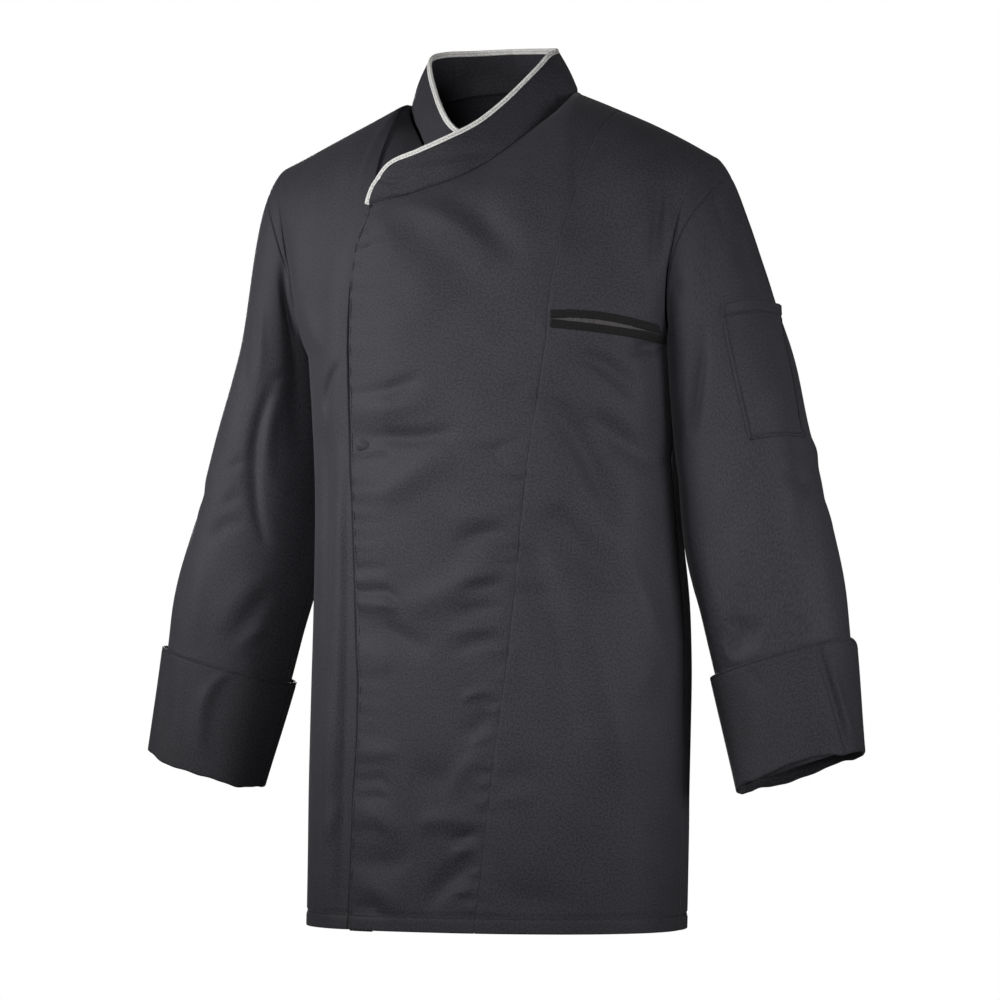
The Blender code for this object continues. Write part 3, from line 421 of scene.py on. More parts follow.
# Collar, whose CREASES rows run from station, share of its height to the same
COLLAR_MARKS = [
    (398, 166, 440, 157, 505, 149, 0.006, -0.0016, 0),
    (378, 178, 395, 182, 414, 177, 0.0035, -0.0012, 0),
    (386, 190, 402, 194, 424, 186, 0.004, 0.0008, 0),
    (545, 84, 544, 92, 546, 102, 0.0035, -0.0008, 0),
    (553, 84, 553, 92, 555, 102, 0.003, 0.0006, 0),
    (455, 57, 455, 75, 455, 92, 0.002, 0.0008, 0),
]
COLLAR_CREASES = [
    (9.4, 0.9, 9.9, 0.1, 0.001, 0.005, -0.0008, 0),
    (14.6, 0.9, 14.2, 0.1, 0.001, 0.005, -0.0008, 0),
]
COLLAR_STATION = 0.0355
COLLAR_HEIGHT = 0.040
CREASE_END = 0.10
DEPTH = 1.35

# How marks are placed: columns and levels of the fronts, turns and shares of the sleeves, and
# stations and heights of the collar that are looked at; the turn past which a turn is counted
# back from a whole one; decimals of the places, of the collar's stations and of the bends
FRONT_LOOK = (-0.5, 1.0, 240)
LEVELS_LOW = (-1.0, 0.0, 160)
LEVELS_HIGH = (0.0, 1.0, 90)
TURNS_LOOK = 200
SHARES_LOOK = (0.0, 1.0, 260)
STATIONS_LOOK = (0.0, 22.0, 600)
HEIGHTS_LOOK = (0.0, 1.0, 40)
TURN_BEHIND = 0.6
PLACE_DIGITS = 3
STATION_DIGITS = 2
BEND_DIGITS = 4

# A mark takes the front-most point within this share of the least distance, or this many pixels;
# metres of depth that one pixel off counts for; pixels added beyond this reach of the left front
MARK_SHARE = 1.4
MARK_LEAST = 2.5
MARK_WEIGHT = 0.004
MARK_BEYOND = 50.0
MARK_REACH = 0.2046

# Puckers beside seams: place along the seam, reach away from it and height, minus for a dip.
# PUCKER_BEYOND is the share of that height on the seam's other side.
EDGE_PUCKERS = [
    (-0.139, 0.020, 0.0010), (-0.146, 0.014, -0.0008), (-0.152, 0.026, 0.0012), (-0.160, 0.014, -0.0009),
    (-0.169, 0.018, 0.0009), (-0.177, 0.012, -0.0007), (-0.188, 0.018, 0.0010), (-0.196, 0.014, -0.0009),
    (-0.205, 0.022, 0.0011), (-0.214, 0.024, 0.0012), (-0.222, 0.016, -0.0010), (-0.229, 0.014, 0.0008),
    (-0.238, 0.018, -0.0007), (-0.248, 0.020, 0.0010), (-0.258, 0.012, -0.0007), (-0.269, 0.016, 0.0009),
    (-0.277, 0.014, -0.0008), (-0.286, 0.018, 0.0010), (-0.333, 0.018, 0.0016), (-0.364, 0.016, -0.0008),
    (-0.373, 0.020, 0.0012), (-0.380, 0.014, -0.0009), (-0.388, 0.026, 0.0015), (-0.397, 0.020, -0.0012),
    (-0.406, 0.024, 0.0015), (-0.414, 0.014, -0.0010), (-0.421, 0.018, 0.0011), (-0.429, 0.014, -0.0009),
    (-0.437, 0.022, 0.0014), (-0.446, 0.012, 0.0008), (-0.513, 0.012, 0.0008), (-0.521, 0.012, -0.0008),
    (-0.543, 0.014, -0.0008), (-0.552, 0.020, 0.0010), (-0.561, 0.014, -0.0009), (-0.569, 0.018, 0.0010),
    (-0.577, 0.012, -0.0009), (-0.586, 0.018, 0.0012), (-0.594, 0.014, -0.0008), (-0.612, 0.014, -0.0009),
    (-0.620, 0.016, 0.0010), (-0.645, 0.014, 0.0009), (-0.667, 0.012, -0.0008), (-0.693, 0.016, 0.0010),
    (-0.702, 0.014, -0.0009), (-0.712, 0.016, 0.0009), (-0.731, 0.014, -0.0009), (-0.741, 0.018, 0.0010),
]
SEAM_PUCKERS = [
    (-0.120, 0.014, 0.0007), (-0.130, 0.012, -0.0006), (-0.139, 0.014, 0.0007), (-0.200, 0.012, -0.0005),
    (-0.232, 0.012, 0.0006), (-0.268, 0.012, -0.0006), (-0.300, 0.016, 0.0010), (-0.330, 0.014, -0.0008),
    (-0.372, 0.024, 0.0014), (-0.381, 0.016, -0.0008), (-0.390, 0.018, 0.0009), (-0.402, 0.020, 0.0010),
    (-0.437, 0.022, 0.0014), (-0.449, 0.014, 0.0009), (-0.456, 0.012, -0.0008), (-0.535, 0.018, 0.0014),
    (-0.548, 0.014, -0.0008), (-0.560, 0.014, 0.0008), (-0.583, 0.012, -0.0012), (-0.590, 0.012, 0.0012),
    (-0.640, 0.012, 0.0010), (-0.647, 0.010, -0.0012), (-0.656, 0.010, 0.0012), (-0.664, 0.010, -0.0012),
    (-0.673, 0.012, 0.0010), (-0.684, 0.012, -0.0014), (-0.738, 0.012, 0.0010), (-0.745, 0.010, -0.0012),
    (-0.762, 0.012, -0.0012), (-0.770, 0.012, 0.0012),
]
PUCKER_WIDTH = 0.0030
PUCKER_SLOPE = 0.12
PUCKER_DEPTH = 1.4
PUCKER_START = 0.0022
PUCKER_BEYOND = 0.35

# Press studs that show as soft bumps beside the front edge, the first with a dent below it:
# x, z, half width and height
STUDS = [
    (-0.0915, -0.3395, 0.0072, 0.0042),
    (-0.0880, -0.3515, 0.0058, -0.0024),
    (-0.083, -0.530, 0.0068, 0.0018),
    (-0.079, -0.598, 0.0072, 0.0025),
]

# The overlap's edge from the hem up, marked in pixels of the photo; and its top, given as
# distance from the centre and height
OVERLAP_MARKS = [
    (348, 930), (350, 870), (352, 805), (357, 740), (358, 680), (357, 645), (355, 580),
    (352, 510), (350, 470), (349, 410), (348, 350), (349, 320), (350, 290), (353, 260),
]
OVERLAP_TOP = [(-0.0960, -0.144), (-0.0905, -0.132), (-0.0868, -0.122)]

# Dive of the right front beside the overlap's edge: depth below and above, where it deepens
EDGE_DIP = (0.0014, 0.0025)
EDGE_DIP_LEVEL = (-0.36, -0.26)
EDGE_DIP_SPAN = (-0.0044, -0.0022)
EDGE_BAND = 0.008
UNDERLAP_LIFT = 0.004
UNDERLAP_SPAN = (0.0, 0.008)

# Armhole seams: turn from the sleeve's top, share of its length, and their groove
ARMHOLE = [(0.0, 0.034), (0.06, 0.036), (0.12, 0.034), (0.185, 0.024), (0.245, 0.012), (0.30, 0.0)]
ARMHOLE_GROOVE = (0.0016, 0.0010)
ARMHOLE_REACH = 0.026
ARMHOLE_LOW = (-0.185, -0.150)

# Seam between the left front's panels: the depth and width of its groove, which fades above
SEAM_DEPTH = 0.0006
SEAM_WIDTH = 0.0009
SEAM_FADE = (0.05, 0.35)

# Chest pocket: its slit's ends as distance and height, how far its middle is bowed up, and
# how far the two welts stand off the cloth
SLIT_INNER = (0.0985, -0.2288)
SLIT_OUTER = (0.1835, -0.2392)
SLIT_BOW = 0.0022
SLIT_OPEN = 0.0028
SLIT_SPAN = (0.05, 0.90)
WELT_HIGH = 0.0088
WELT_RISE = 0.0013

# Unevenness of the cloth: distance between bumps and their height
UNEVEN = [(0.085, 0.0011), (0.034, 0.00035)]

# Stitches: length, gap to the next, and half thickness of the thread
STITCH = 0.0026
STITCH_GAP = 0.0006
STITCH_DENT = 0.00055
STITCH_DENT_WIDTH = 0.0010
HEM_DENT = (0.0011, 0.0016)
THREAD = 0.00033
STITCH_TILT = 0.00045

# Binding on the collar's edge: half height, half thickness, groove, how far it stands up, the
# ripple along its groove and half thickness of its thread
BINDING_HIGH = 0.0028
BINDING_THICK = 0.0021
BINDING_GROOVE = 0.0007
BINDING_RISE = 0.0017
BINDING_RIPPLE = 0.00016
BINDING_THREAD = 0.00022

# Cuffs: radius of the folded top edge, stitch line below it, and their uneven lower edge, as
# waves round the cuff with a shift; how near the edge they start; and how faint the creases are
# at the top and how far down that goes
CUFF_FOLD = 0.0011
CUFF_STITCH = 0.0034
CUFF_WAVE = 0.0016
CUFF_WAVES = [(2, 0.8), (5, 0.7), (9, 0.25), (17, 0.18)]
CUFF_SHIFT = 0.15
CUFF_LOOSE = 0.06
CUFF_HOLD = (0.35, 0.014)
CUFF_LIFTS = [(0.25, 0.15, 0.0034), (0.70, 0.14, -0.0030)]
CUFF_INSIDE = 0.022
CUFF_TILT = 0.0055
CUFF_CORNER = (-0.05, 0.05, 0.009)
CUFF_CORNER_REACH = 0.030

# Patch pocket on the sleeve: turns of its front and rear edges at its top and bottom, their
# shares of the sleeve's length, height off the cloth, stitch lines from its edges, hem of its
# opening, and how far its free corner stands off
PATCH_FRONT = (0.145, 0.176)
PATCH_REAR = (-0.062, 0.001)
PATCH_ENDS = (0.166, 0.404)
PATCH_RISE = 0.0017
PATCH_STITCHES = (0.0012, 0.0042)
PATCH_HEM = 0.0105
PATCH_CORNER = 0.0036
PATCH_DENT = (0.0014, 0.0010)

# The same pocket's cloth, edge sunk into the sleeve and its width, step of the opening's hem,
# spread of the free corner, and the opening's lip: rise and reach
PATCH_CLOTH = 0.0007
PATCH_SUNK = 0.0003
PATCH_EDGE = 0.0006
PATCH_STEP = 0.0004
PATCH_SPREAD = (0.016, 0.020)
PATCH_LIP = (0.0008, 0.004)

# Colours and light
CLOTH_DARK = (0.0200, 0.0193, 0.0245)
CLOTH_LIGHT = (0.0400, 0.0385, 0.0475)
REVERSE_DARK = (0.0178, 0.0172, 0.0215)
REVERSE_LIGHT = (0.0350, 0.0338, 0.0412)
THREAD_COLOUR = (0.009, 0.009, 0.011)
PALE_THREAD_COLOUR = (0.20, 0.19, 0.185)
PIPING_DARK = (0.66, 0.65, 0.635)
PIPING_LIGHT = (0.90, 0.885, 0.86)
WELT_DARK = (0.006, 0.006, 0.0065)
WELT_LIGHT = (0.013, 0.013, 0.0135)
SLIT_DARK = (0.050, 0.047, 0.046)
SLIT_LIGHT = (0.085, 0.080, 0.078)
FLOOR_COLOUR = (0.85, 0.85, 0.84)
FLOOR_LEVEL = -1.75
FLOOR_REACH = 9.0
SKY_SEEN = 1.0
SKY_LIGHT = 0.026
KEY = dict(place=(-1.28, -0.94, 0.10), target=(-0.05, 0.0, -0.37), size=0.8, power=2.28, spread=46)
FILL = dict(place=(1.55, -0.62, -0.30), target=(0.12, 0.0, -0.44), size=0.8, power=1.6, spread=50)
FRONT = dict(place=(0.20, -1.70, -0.20), target=(0.02, 0.0, -0.28), size=0.8, power=1.70, spread=66)
BACK = dict(place=(-1.30, 2.40, 0.20), target=(0.0, 0.0, -0.40), size=1.4, power=10.5, spread=60)


def smooth(x):
    """0 to 1 with level ends."""
    t = np.clip(x, 0.0, 1.0)
    return t * t * (3.0 - 2.0 * t)


def ramp(x, start, end):
    """0 before start, 1 past end, smooth between."""
    return smooth((x - start) / (end - start))


def through(keys, values, x):
    """A smooth curve through the values at rising keys, read at x."""
    keys = np.asarray(keys, float)
    values = np.asarray(values, float)
    slopes = np.gradient(values, keys, axis=0)
    x = np.clip(x, keys[0], keys[-1])
    i = np.clip(np.searchsorted(keys, x, side="right") - 1, 0, len(keys) - 2)
    span = keys[i + 1] - keys[i]
    t = (x - keys[i]) / span
    if values.ndim > 1:
        t = t[..., None]
        span = span[..., None]
    return hermite(values[i], values[i + 1], slopes[i] * span, slopes[i + 1] * span, t)


def hermite(start, end, leave, arrive, t):
    """Cubic from start to end with the given end tangents."""
    t2 = t * t
    t3 = t2 * t
    return (
        (2 * t3 - 3 * t2 + 1) * start
        + (t3 - 2 * t2 + t) * leave
        + (3 * t2 - 2 * t3) * end
        + (t3 - t2) * arrive
    )


def column_of(rows, name):
    return np.array([row[name] for row in rows], float)


def body_section(column, z, back, side):
    """Point of the body's ring at height z; column is -1 to 1 between the side seams.

    side is 1 for the wearer's left and -1 for the right, which is built mirrored.
    """
    keys = column_of(BODY_SECTIONS, "z")
    half = through(keys, column_of(BODY_SECTIONS, "half"), z)
    depth = through(keys, column_of(BODY_SECTIONS, "back" if back else "front"), z)
    angle = np.clip(column, -1.0, 1.0) * math.pi / 2
    power = 2.0 / SECTION_POWER
    x = half * np.sign(np.sin(angle)) * np.abs(np.sin(angle)) ** power
    y = depth * np.abs(np.cos(angle)) ** power
    shift = through(keys, column_of(BODY_SECTIONS, "shift"), z)
    return np.stack([x + shift * side, y if back else -y, z + 0.0 * x], -1)


def column_at(x, z):
    """The column that lies at distance x from the centre at height z."""
    keys = column_of(BODY_SECTIONS, "z")
    half = through(keys, column_of(BODY_SECTIONS, "half"), z)
    share = np.clip(np.abs(x) / half, 0.0, 1.0) ** (SECTION_POWER / 2)
    return np.sign(x) * np.arcsin(share) * 2 / math.pi


def top_edge(column, back):
    """Points and arriving tangents of a body panel's top: neck seam, then shoulder line."""
    neck = COLLAR[:NECK_ROW] if back else COLLAR[:NECK_ROW:-1]
    neck = neck + [COLLAR[NECK_ROW]]
    station = np.interp(column, column_of(neck, "column"), [COLLAR.index(row) for row in neck])
    seam = through(np.arange(len(COLLAR)), column_of(COLLAR, "seam"), station)
    line = through(column_of(SHOULDER, "column"), column_of(SHOULDER, "point"), column)
    points = np.where(column[..., None] > NECK_COLUMN, line, seam)
    rows = neck[:-1] + SHOULDER
    keys = column_of(rows, "column")
    inward = -column_of(rows, "out")
    turn = column_of(rows, "lean") * (-1 if back else 1)
    arrive = [np.interp(column, keys, v) for v in (inward, turn, column_of(rows, "rise"))]
    return points, np.stack(arrive, -1)


def body_point(column, level, back, side=1):
    """Left half of the body: level -1 is the hem, 0 the underarm and 1 the top edge."""
    column, level = np.broadcast_arrays(np.asarray(column, float), np.asarray(level, float))
    z = UNDERARM + np.clip(level, -1.0, 0.0) * (UNDERARM - HEM)
    low = body_section(column, z, back, side)
    start = body_section(column, np.full(column.shape, UNDERARM), back, side)
    end, arrive = top_edge(column, back)
    swing = smooth((np.abs(column) - ARMHOLE_FROM_COLUMN) / (1 - ARMHOLE_FROM_COLUMN))[..., None]
    reach = ARMHOLE_BACK if back else -ARMHOLE_FORWARD
    upright = np.array([0.0, 0.0, COLUMN_RISE])
    around = np.array([0.0, reach, ARMHOLE_RISE])
    t = np.clip(level, 0.0, 1.0)[..., None]
    high = hermite(start, end, upright + (around - upright) * swing, arrive, t)
    return np.where(level[..., None] > 0, high, low)


def lean_shoulders(points):
    """The left shoulder, and that side of the collar, sit a little lower than the right."""
    x, _, z = np.moveaxis(points, -1, 0)
    drop = SHOULDER_LEAN * np.clip(x / SHOULDER_HALF, -1, 1) ** 3
    collar = ramp(z, *COLLAR_HEIGHTS)
    out = points.copy()
    out[..., 2] -= drop * ramp(z, *SHOULDER_HEIGHTS) + COLLAR_LEAN * x * collar
    out[..., 0] -= COLLAR_SHIFT * collar
    return out


def fold_profile(along, across):
    """Height of a fold: along is its share of the length, across is in half widths."""
    return (FOLD_END + (1 - FOLD_END) * np.sin(math.pi * along)) * np.exp(-(across ** 2))


def press_folds(points, folds):
    """Move body points in or out along Y and X by the soft folds near them."""
    out = points.copy()
    outward = points * np.array([1.0, SECTION_ROUNDNESS, 0.0])
    outward /= np.linalg.norm(outward, axis=-1, keepdims=True) + 1e-9
    for fold in folds:
        start = np.array([fold["x0"], fold["z0"]])
        along = np.array([fold["x1"], fold["z1"]]) - start
        flat = points[..., [0, 2]] - start
        t = np.clip(flat @ along / (along @ along), 0.0, 1.0)
        distance = np.linalg.norm(flat - t[..., None] * along, axis=-1)
        amount = fold["depth"] * fold_profile(t, distance / fold["width"])
        out += outward * amount[..., None]
    return out


def tuck_under(points):
    """Set the right front and its collar inside the left front where the two overlap."""
    x, y, z = np.moveaxis(points, -1, 0)
    across = ramp(x, *TUCK_ACROSS)
    past = ramp(x, *TUCK_PAST) * ramp(z, *TUCK_HEIGHT)
    out = points.copy()
    out[..., 1] += (UNDERLAP_DEPTH * across + UNDERLAP_EXTRA * past) * ramp(-y, *TUCK_FORWARD)
    return out


def left_front(column, level):
    points = body_point(column, level, False)
    return lean_shoulders(press_folds(points, FRONT_FOLDS))


def right_front(column, level):
    points = body_point(column, level, False, -1) * np.array([-1.0, 1.0, 1.0])
    return lean_shoulders(tuck_under(press_folds(points, RIGHT_FOLDS)))


def back_point(column, level):
    left = body_point(np.abs(column), level, True, 1)
    right = body_point(np.abs(column), level, True, -1) * np.array([-1.0, 1.0, 1.0])
    points = np.where((np.asarray(column) < 0)[..., None], right, left)
    return lean_shoulders(press_folds(points, BACK_FOLDS))


def edge_column(x, level, top):
    """Column of a panel edge that runs down at distance x and meets the collar at top."""
    z = UNDERARM + np.clip(level, -1.0, 0.0) * (UNDERARM - HEM)
    low = column_at(x, z)
    return low + (top - low) * smooth(np.clip(level, 0.0, 1.0) ** 1.3)


def panel_seam_column(level):
    z = UNDERARM + np.clip(level, -1.0, 0.0) * (UNDERARM - HEM)
    x = through(column_of(PANEL_SEAM, "z"), column_of(PANEL_SEAM, "x"), z)
    low = column_at(x, z)
    edge = COLLAR[-1]["column"]
    top = edge + (NECK_COLUMN - edge) / PANEL_NECK_SHARE
    return low + (top - low) * smooth(np.clip(level, 0.0, 1.0))


def side_seam(level):
    return np.ones_like(level)


def underlap_edge(level):
    """Hidden edge of the right front, as a column of its own mirrored half."""
    top = 1.0 - (1.0 - NECK_COLUMN) * RIGHT_COLUMNS / RIGHT_SHOULDER_COLUMNS
    return edge_column(-UNDERLAP_EDGE, level, top)


def right_side_seam(level):
    return -np.ones_like(level)


def armhole(turn):
    """The left armhole: turn 0 is its top, 0.25 the front, 0.5 the underarm, 0.75 the back."""
    turn = np.asarray(turn, float) % 1.0
    level = np.abs(1.0 - 2.0 * turn)
    ones = np.ones_like(turn)
    front = body_point(ones, level, False)
    back = body_point(ones, level, True)
    return np.where((turn < 0.5)[..., None], front, back)


def sleeve_section(row, turn):
    """A section of the left sleeve: turn 0 outer side, 0.25 front, 0.5 inner, 0.75 back."""
    angle = turn * 2 * math.pi
    power = 2.0 / SLEEVE_POWER
    c = np.sign(np.cos(angle)) * np.abs(np.cos(angle)) ** power
    s = np.sign(np.sin(angle)) * np.abs(np.sin(angle)) ** power
    x, y, z = row["centre"]
    twist = math.radians(row["twist"])
    across = row["half"] * c * math.cos(twist) - row["depth"] * s * math.sin(twist)
    forward = row["half"] * c * math.sin(twist) + row["depth"] * s * math.cos(twist)
    return np.stack([x + across, y - forward, z + row["tip"] * c], -1)


def sleeve_keys():
    """Shares of the sleeve's length at which its sections lie, the armhole being 0."""
    heights = [row["centre"][2] for row in SLEEVE_SECTIONS]
    top = (SHOULDER_DROP + UNDERARM) / 2
    return np.array([0.0] + [(top - z) / (top - heights[-1]) for z in heights])


def plain_sleeve(turn, along):
    """Point of the left sleeve: along is 0 at the armhole and 1 at its end."""
    turn, along = np.broadcast_arrays(np.asarray(turn, float), np.asarray(along, float))
    start = armhole(turn)
    sections = [start] + [sleeve_section(row, turn) for row in SLEEVE_SECTIONS]
    keys = sleeve_keys()
    slopes = np.gradient(np.array(sections), keys, axis=0)
    slopes[0] = sleeve_leaving(turn) / keys[1] * 1.6
    i = np.clip(np.searchsorted(keys, along, side="right") - 1, 0, len(keys) - 2)
    span = (keys[i + 1] - keys[i])[..., None]
    t = ((along - keys[i]) / (keys[i + 1] - keys[i]))[..., None]
    picks = np.array(sections)
    a = np.take_along_axis(picks, i[None, ..., None], 0)[0]
    b = np.take_along_axis(picks, i[None, ..., None] + 1, 0)[0]
    sa = np.take_along_axis(slopes, i[None, ..., None], 0)[0]
    sb = np.take_along_axis(slopes, i[None, ..., None] + 1, 0)[0]
    return hermite(a, b, sa * span, sb * span, t)


def sleeve_leaving(turn):
    """Direction and speed in which the sleeve leaves the armhole."""
    top = 0.5 + 0.5 * np.cos(turn * 2 * math.pi)
    out = SLEEVE_LEAVE * (0.10 + 0.90 * top ** 0.8)
    down = -0.018 - 0.030 * top
    return np.stack([out, 0.0 * out, down], -1)


def sleeve_point(turn, along, side):
    """Point of a sleeve's outer face; side is 1 for the left and -1 for the right one."""
    points = plain_sleeve(turn, along)
    after = plain_sleeve(turn, np.clip(along + NORMAL_STEP, 0, 1))
    before = plain_sleeve(turn, np.clip(along - NORMAL_STEP, 0, 1))
    round_ = plain_sleeve(turn + NORMAL_STEP, along) - plain_sleeve(turn - NORMAL_STEP, along)
    normal = np.cross(round_, after - before)
    normal /= np.linalg.norm(normal, axis=-1, keepdims=True) + 1e-12
    points = points + normal * sleeve_fold_depth(turn, along)[..., None]
    return lean_shoulders(points * np.array([side, 1.0, 1.0]))


def turns_past(turn, start):
    """Turns from a start, the short way round."""
    return (turn - start + 0.5) % 1.0 - 0.5


def sleeve_fold_depth(turn, along):
    """How far the soft folds move the sleeve's wall out."""
    turn, along = np.broadcast_arrays(np.asarray(turn, float), np.asarray(along, float))
    depth = np.zeros(turn.shape)
    for fold in SLEEVE_FOLDS:
        lead = turns_past(turn, fold["turn0"])
        swing = turns_past(fold["turn1"], fold["turn0"])
        way = np.array([swing * SLEEVE_GIRTH, (fold["along1"] - fold["along0"]) * SLEEVE_LENGTH])
        flat = np.stack([lead * SLEEVE_GIRTH, (along - fold["along0"]) * SLEEVE_LENGTH], -1)
        t = np.clip(flat @ way / (way @ way), 0.0, 1.0)
        distance = np.linalg.norm(flat - t[..., None] * way, axis=-1)
        depth += fold["depth"] * fold_profile(t, distance / fold["width"])
    return depth


def offset_sleeve(turns, along, off, side):
    """A ring parallel to the sleeve's face."""
    alongs = np.full(turns.shape, along)
    here = sleeve_point(turns, alongs, side)
    down = here - sleeve_point(turns, alongs - 2 * NORMAL_STEP, side)
    forward = sleeve_point(turns + NORMAL_STEP, alongs, side)
    round_ = forward - sleeve_point(turns - NORMAL_STEP, alongs, side)
    normal = np.cross(round_, down) * side
    normal /= np.linalg.norm(normal, axis=-1, keepdims=True)
    return here + normal * off


def collar_line(name, station):
    """Seam or edge of the collar; station runs from the overlap's end, 0, to the hidden end."""
    rows = column_of(COLLAR, name)
    index = len(COLLAR) - 1 - np.asarray(station, float)
    points = through(np.arange(len(COLLAR)), rows, np.abs(index))
    right = index < 0
    points[..., 0] *= np.where(right, -1.0, 1.0)
    return lean_shoulders(np.where(right[..., None], tuck_under(points), points))


def collar_point(station, height):
    """Point of the collar's outer face: height 0 at the seam and 1 at the edge."""
    seam = collar_line("seam", station)
    edge = collar_line("edge", station)
    height = np.asarray(height)[..., None]
    bulge = np.sin(height * math.pi) * COLLAR_BOW * np.linalg.norm(edge - seam, axis=-1, keepdims=True)
    outward = (seam + edge) / 2 * np.array([1.0, 1.0, 0.0])
    outward /= np.linalg.norm(outward, axis=-1, keepdims=True)
    return seam + (edge - seam) * height + outward * bulge


def collar_frame(station):
    """At the collar's edge: the point, the way up the band and the way into the wall."""
    edge = collar_line("edge", station)
    up = edge - collar_line("seam", station)
    along = collar_line("edge", station + 0.05) - edge
    inward = np.cross(up, along)
    inward /= np.linalg.norm(inward, axis=-1, keepdims=True)
    up = np.cross(along, inward)
    up /= np.linalg.norm(up, axis=-1, keepdims=True)
    return edge, up, inward


def find_on_front(x, z):
    """Columns and levels of the points of the left front at distances x and heights z."""
    goal = np.stack([x, z], -1)
    place = np.stack([column_at(x, z), (z - UNDERARM) / (UNDERARM - HEM)], -1)
    for _ in range(SEARCH_STEPS):
        column, level = place.T
        here = left_front(column, level)[:, [0, 2]]
        over = left_front(column + NORMAL_STEP, level)[:, [0, 2]] - here
        up = left_front(column, level + NORMAL_STEP)[:, [0, 2]] - here
        steps = np.linalg.solve(np.stack([over, up], -1), (goal - here)[..., None])[..., 0]
        place = place + np.clip(steps, -SEARCH_REACH, SEARCH_REACH) * NORMAL_STEP
    return place.T


def front_offset(column, level, off):
    """Points at the distance off from the left front's face."""
    here = left_front(column, level)
    over = left_front(column + NORMAL_STEP, level) - here
    up = left_front(column, level + NORMAL_STEP) - here
    normal = np.cross(over, up)
    normal /= np.linalg.norm(normal, axis=-1, keepdims=True)
    return here + normal * off


def graded(length, start, inside, end):
    """Places from 0 to length, in steps that grow from start to inside and shrink to end."""
    places = [0.0]
    while places[-1] < length:
        here = places[-1]
        near = start + (inside - start) * smooth(here / GRADE)
        far = end + (inside - end) * smooth((length - here) / GRADE)
        places.append(here + float(min(near, far)))
    return np.array(places) * length / places[-1]


def arcs(grid, axis):
    """Distance run along a grid's lines from their start."""
    steps = np.linalg.norm(np.diff(grid, axis=axis), axis=-1)
    zero = np.zeros_like(np.take(steps, [0], axis))
    return np.concatenate([zero, np.cumsum(steps, axis)], axis)


def unit(vectors):
    return vectors / (np.linalg.norm(vectors, axis=-1, keepdims=True) + 1e-12)


def in_photo(points):
    """Pixels of points in the photo's frame, across and down, and their depths from the camera."""
    back = unit(np.array(CAMERA_PLACE) - CAMERA_AIM)
    right = unit(np.cross((0.0, 0.0, 1.0), back))
    up = np.cross(back, right)
    way = points - np.array(CAMERA_PLACE)
    depth = -(way @ back)
    scale = PHOTO_SIDE * CAMERA_LENS / CAMERA_SENSOR / depth
    return PHOTO_SIDE / 2 + scale * (way @ right), PHOTO_SIDE / 2 - scale * (way @ up), depth


def look_at(form, across, up, reach=math.inf):
    """A surface as the photo shows it: each point's places, its pixels and its depth.

    Points beyond the reach are kept off by pixels added to their distance from a mark.
    """
    across, up = np.meshgrid(across, up)
    points = form(across, up)
    beyond = np.where(points[..., 0] > reach, MARK_BEYOND, 0.0)
    return np.stack([across, up], -1), points, *in_photo(points), beyond


def look_at_sleeve(side):
    """The left sleeve for side 1, or the right one for -1, as the photo shows it."""
    turns = np.linspace(0.0, 1.0, TURNS_LOOK, endpoint=False)
    return look_at(lambda turn, share: sleeve_point(turn, share, side), turns, np.linspace(*SHARES_LOOK))


def find_mark(surface, x, y):
    """The two places and the point of a surface where the photo shows it at pixel x, y."""
    places, points, across, down, depth, beyond = surface
    off = np.hypot(across - x, down - y) + beyond
    near = off < max(MARK_SHARE * off.min(), MARK_LEAST)
    found = np.argmin(np.where(near, depth, math.inf) + MARK_WEIGHT * off)
    return places.reshape(-1, 2)[found], points.reshape(-1, 3)[found]


def flat_place(places, point):
    return point[[0, 2]]


def round_place(places, point):
    """Turn and share; a turn near a whole one is counted back from it."""
    return places - np.array([1.0 if places[0] > TURN_BEHIND else 0.0, 0.0])


def band_place(places, point):
    return places


def place_marks(marks, surface, place, sizes=(1.0, 1.0), digits=PLACE_DIGITS):
    """Rows for a table of creases from marks; sizes are the metres in one of each place."""
    rows = []
    for x0, y0, x1, y1, x2, y2, *form in marks:
        pixels = (x0, y0), (x1, y1), (x2, y2)
        start, middle, end = (place(*find_mark(surface, *pixel)) for pixel in pixels)
        way = (end - start) * sizes
        bow = (middle - (start + end) / 2) * sizes
        bend = (way[0] * bow[1] - way[1] * bow[0]) / math.hypot(*way)
        rows.append((*np.round(start, digits), *np.round(end, digits), round(bend, BEND_DIGITS), *form))
    return rows


def place_overlap(surface):
    """Distances and heights of the overlap's edge, from the hem up."""
    rows = []
    for pixel in OVERLAP_MARKS:
        x, z = flat_place(*find_mark(surface, *pixel))
        rows.append((round(x, BEND_DIGITS), round(z, PLACE_DIGITS)))
    return np.array(rows + OVERLAP_TOP)


def normals_of(grid, closed=False):
    """Outward normals of a grid; closed if its last column lies on its first."""
    over = np.gradient(grid, axis=1)
    if closed:
        over[:, 0] = over[:, -1] = (grid[:, 1] - grid[:, -2]) / 2
    return unit(np.cross(over, np.gradient(grid, axis=0)))


def noise(u, v, size, seed):
    """Smooth unevenness from -1 to 1 at places u, v, with bumps about size apart."""
    lattice = np.random.default_rng(seed).uniform(-1.0, 1.0, (64, 64))
    x = u / size
    y = v / size
    i = np.floor(x).astype(int)
    j = np.floor(y).astype(int)
    s = smooth(x - i)
    t = smooth(y - j)
    low = lattice[i % 64, j % 64] * (1 - s) + lattice[(i + 1) % 64, j % 64] * s
    high = lattice[i % 64, (j + 1) % 64] * (1 - s) + lattice[(i + 1) % 64, (j + 1) % 64] * s
    return low * (1 - t) + high * t


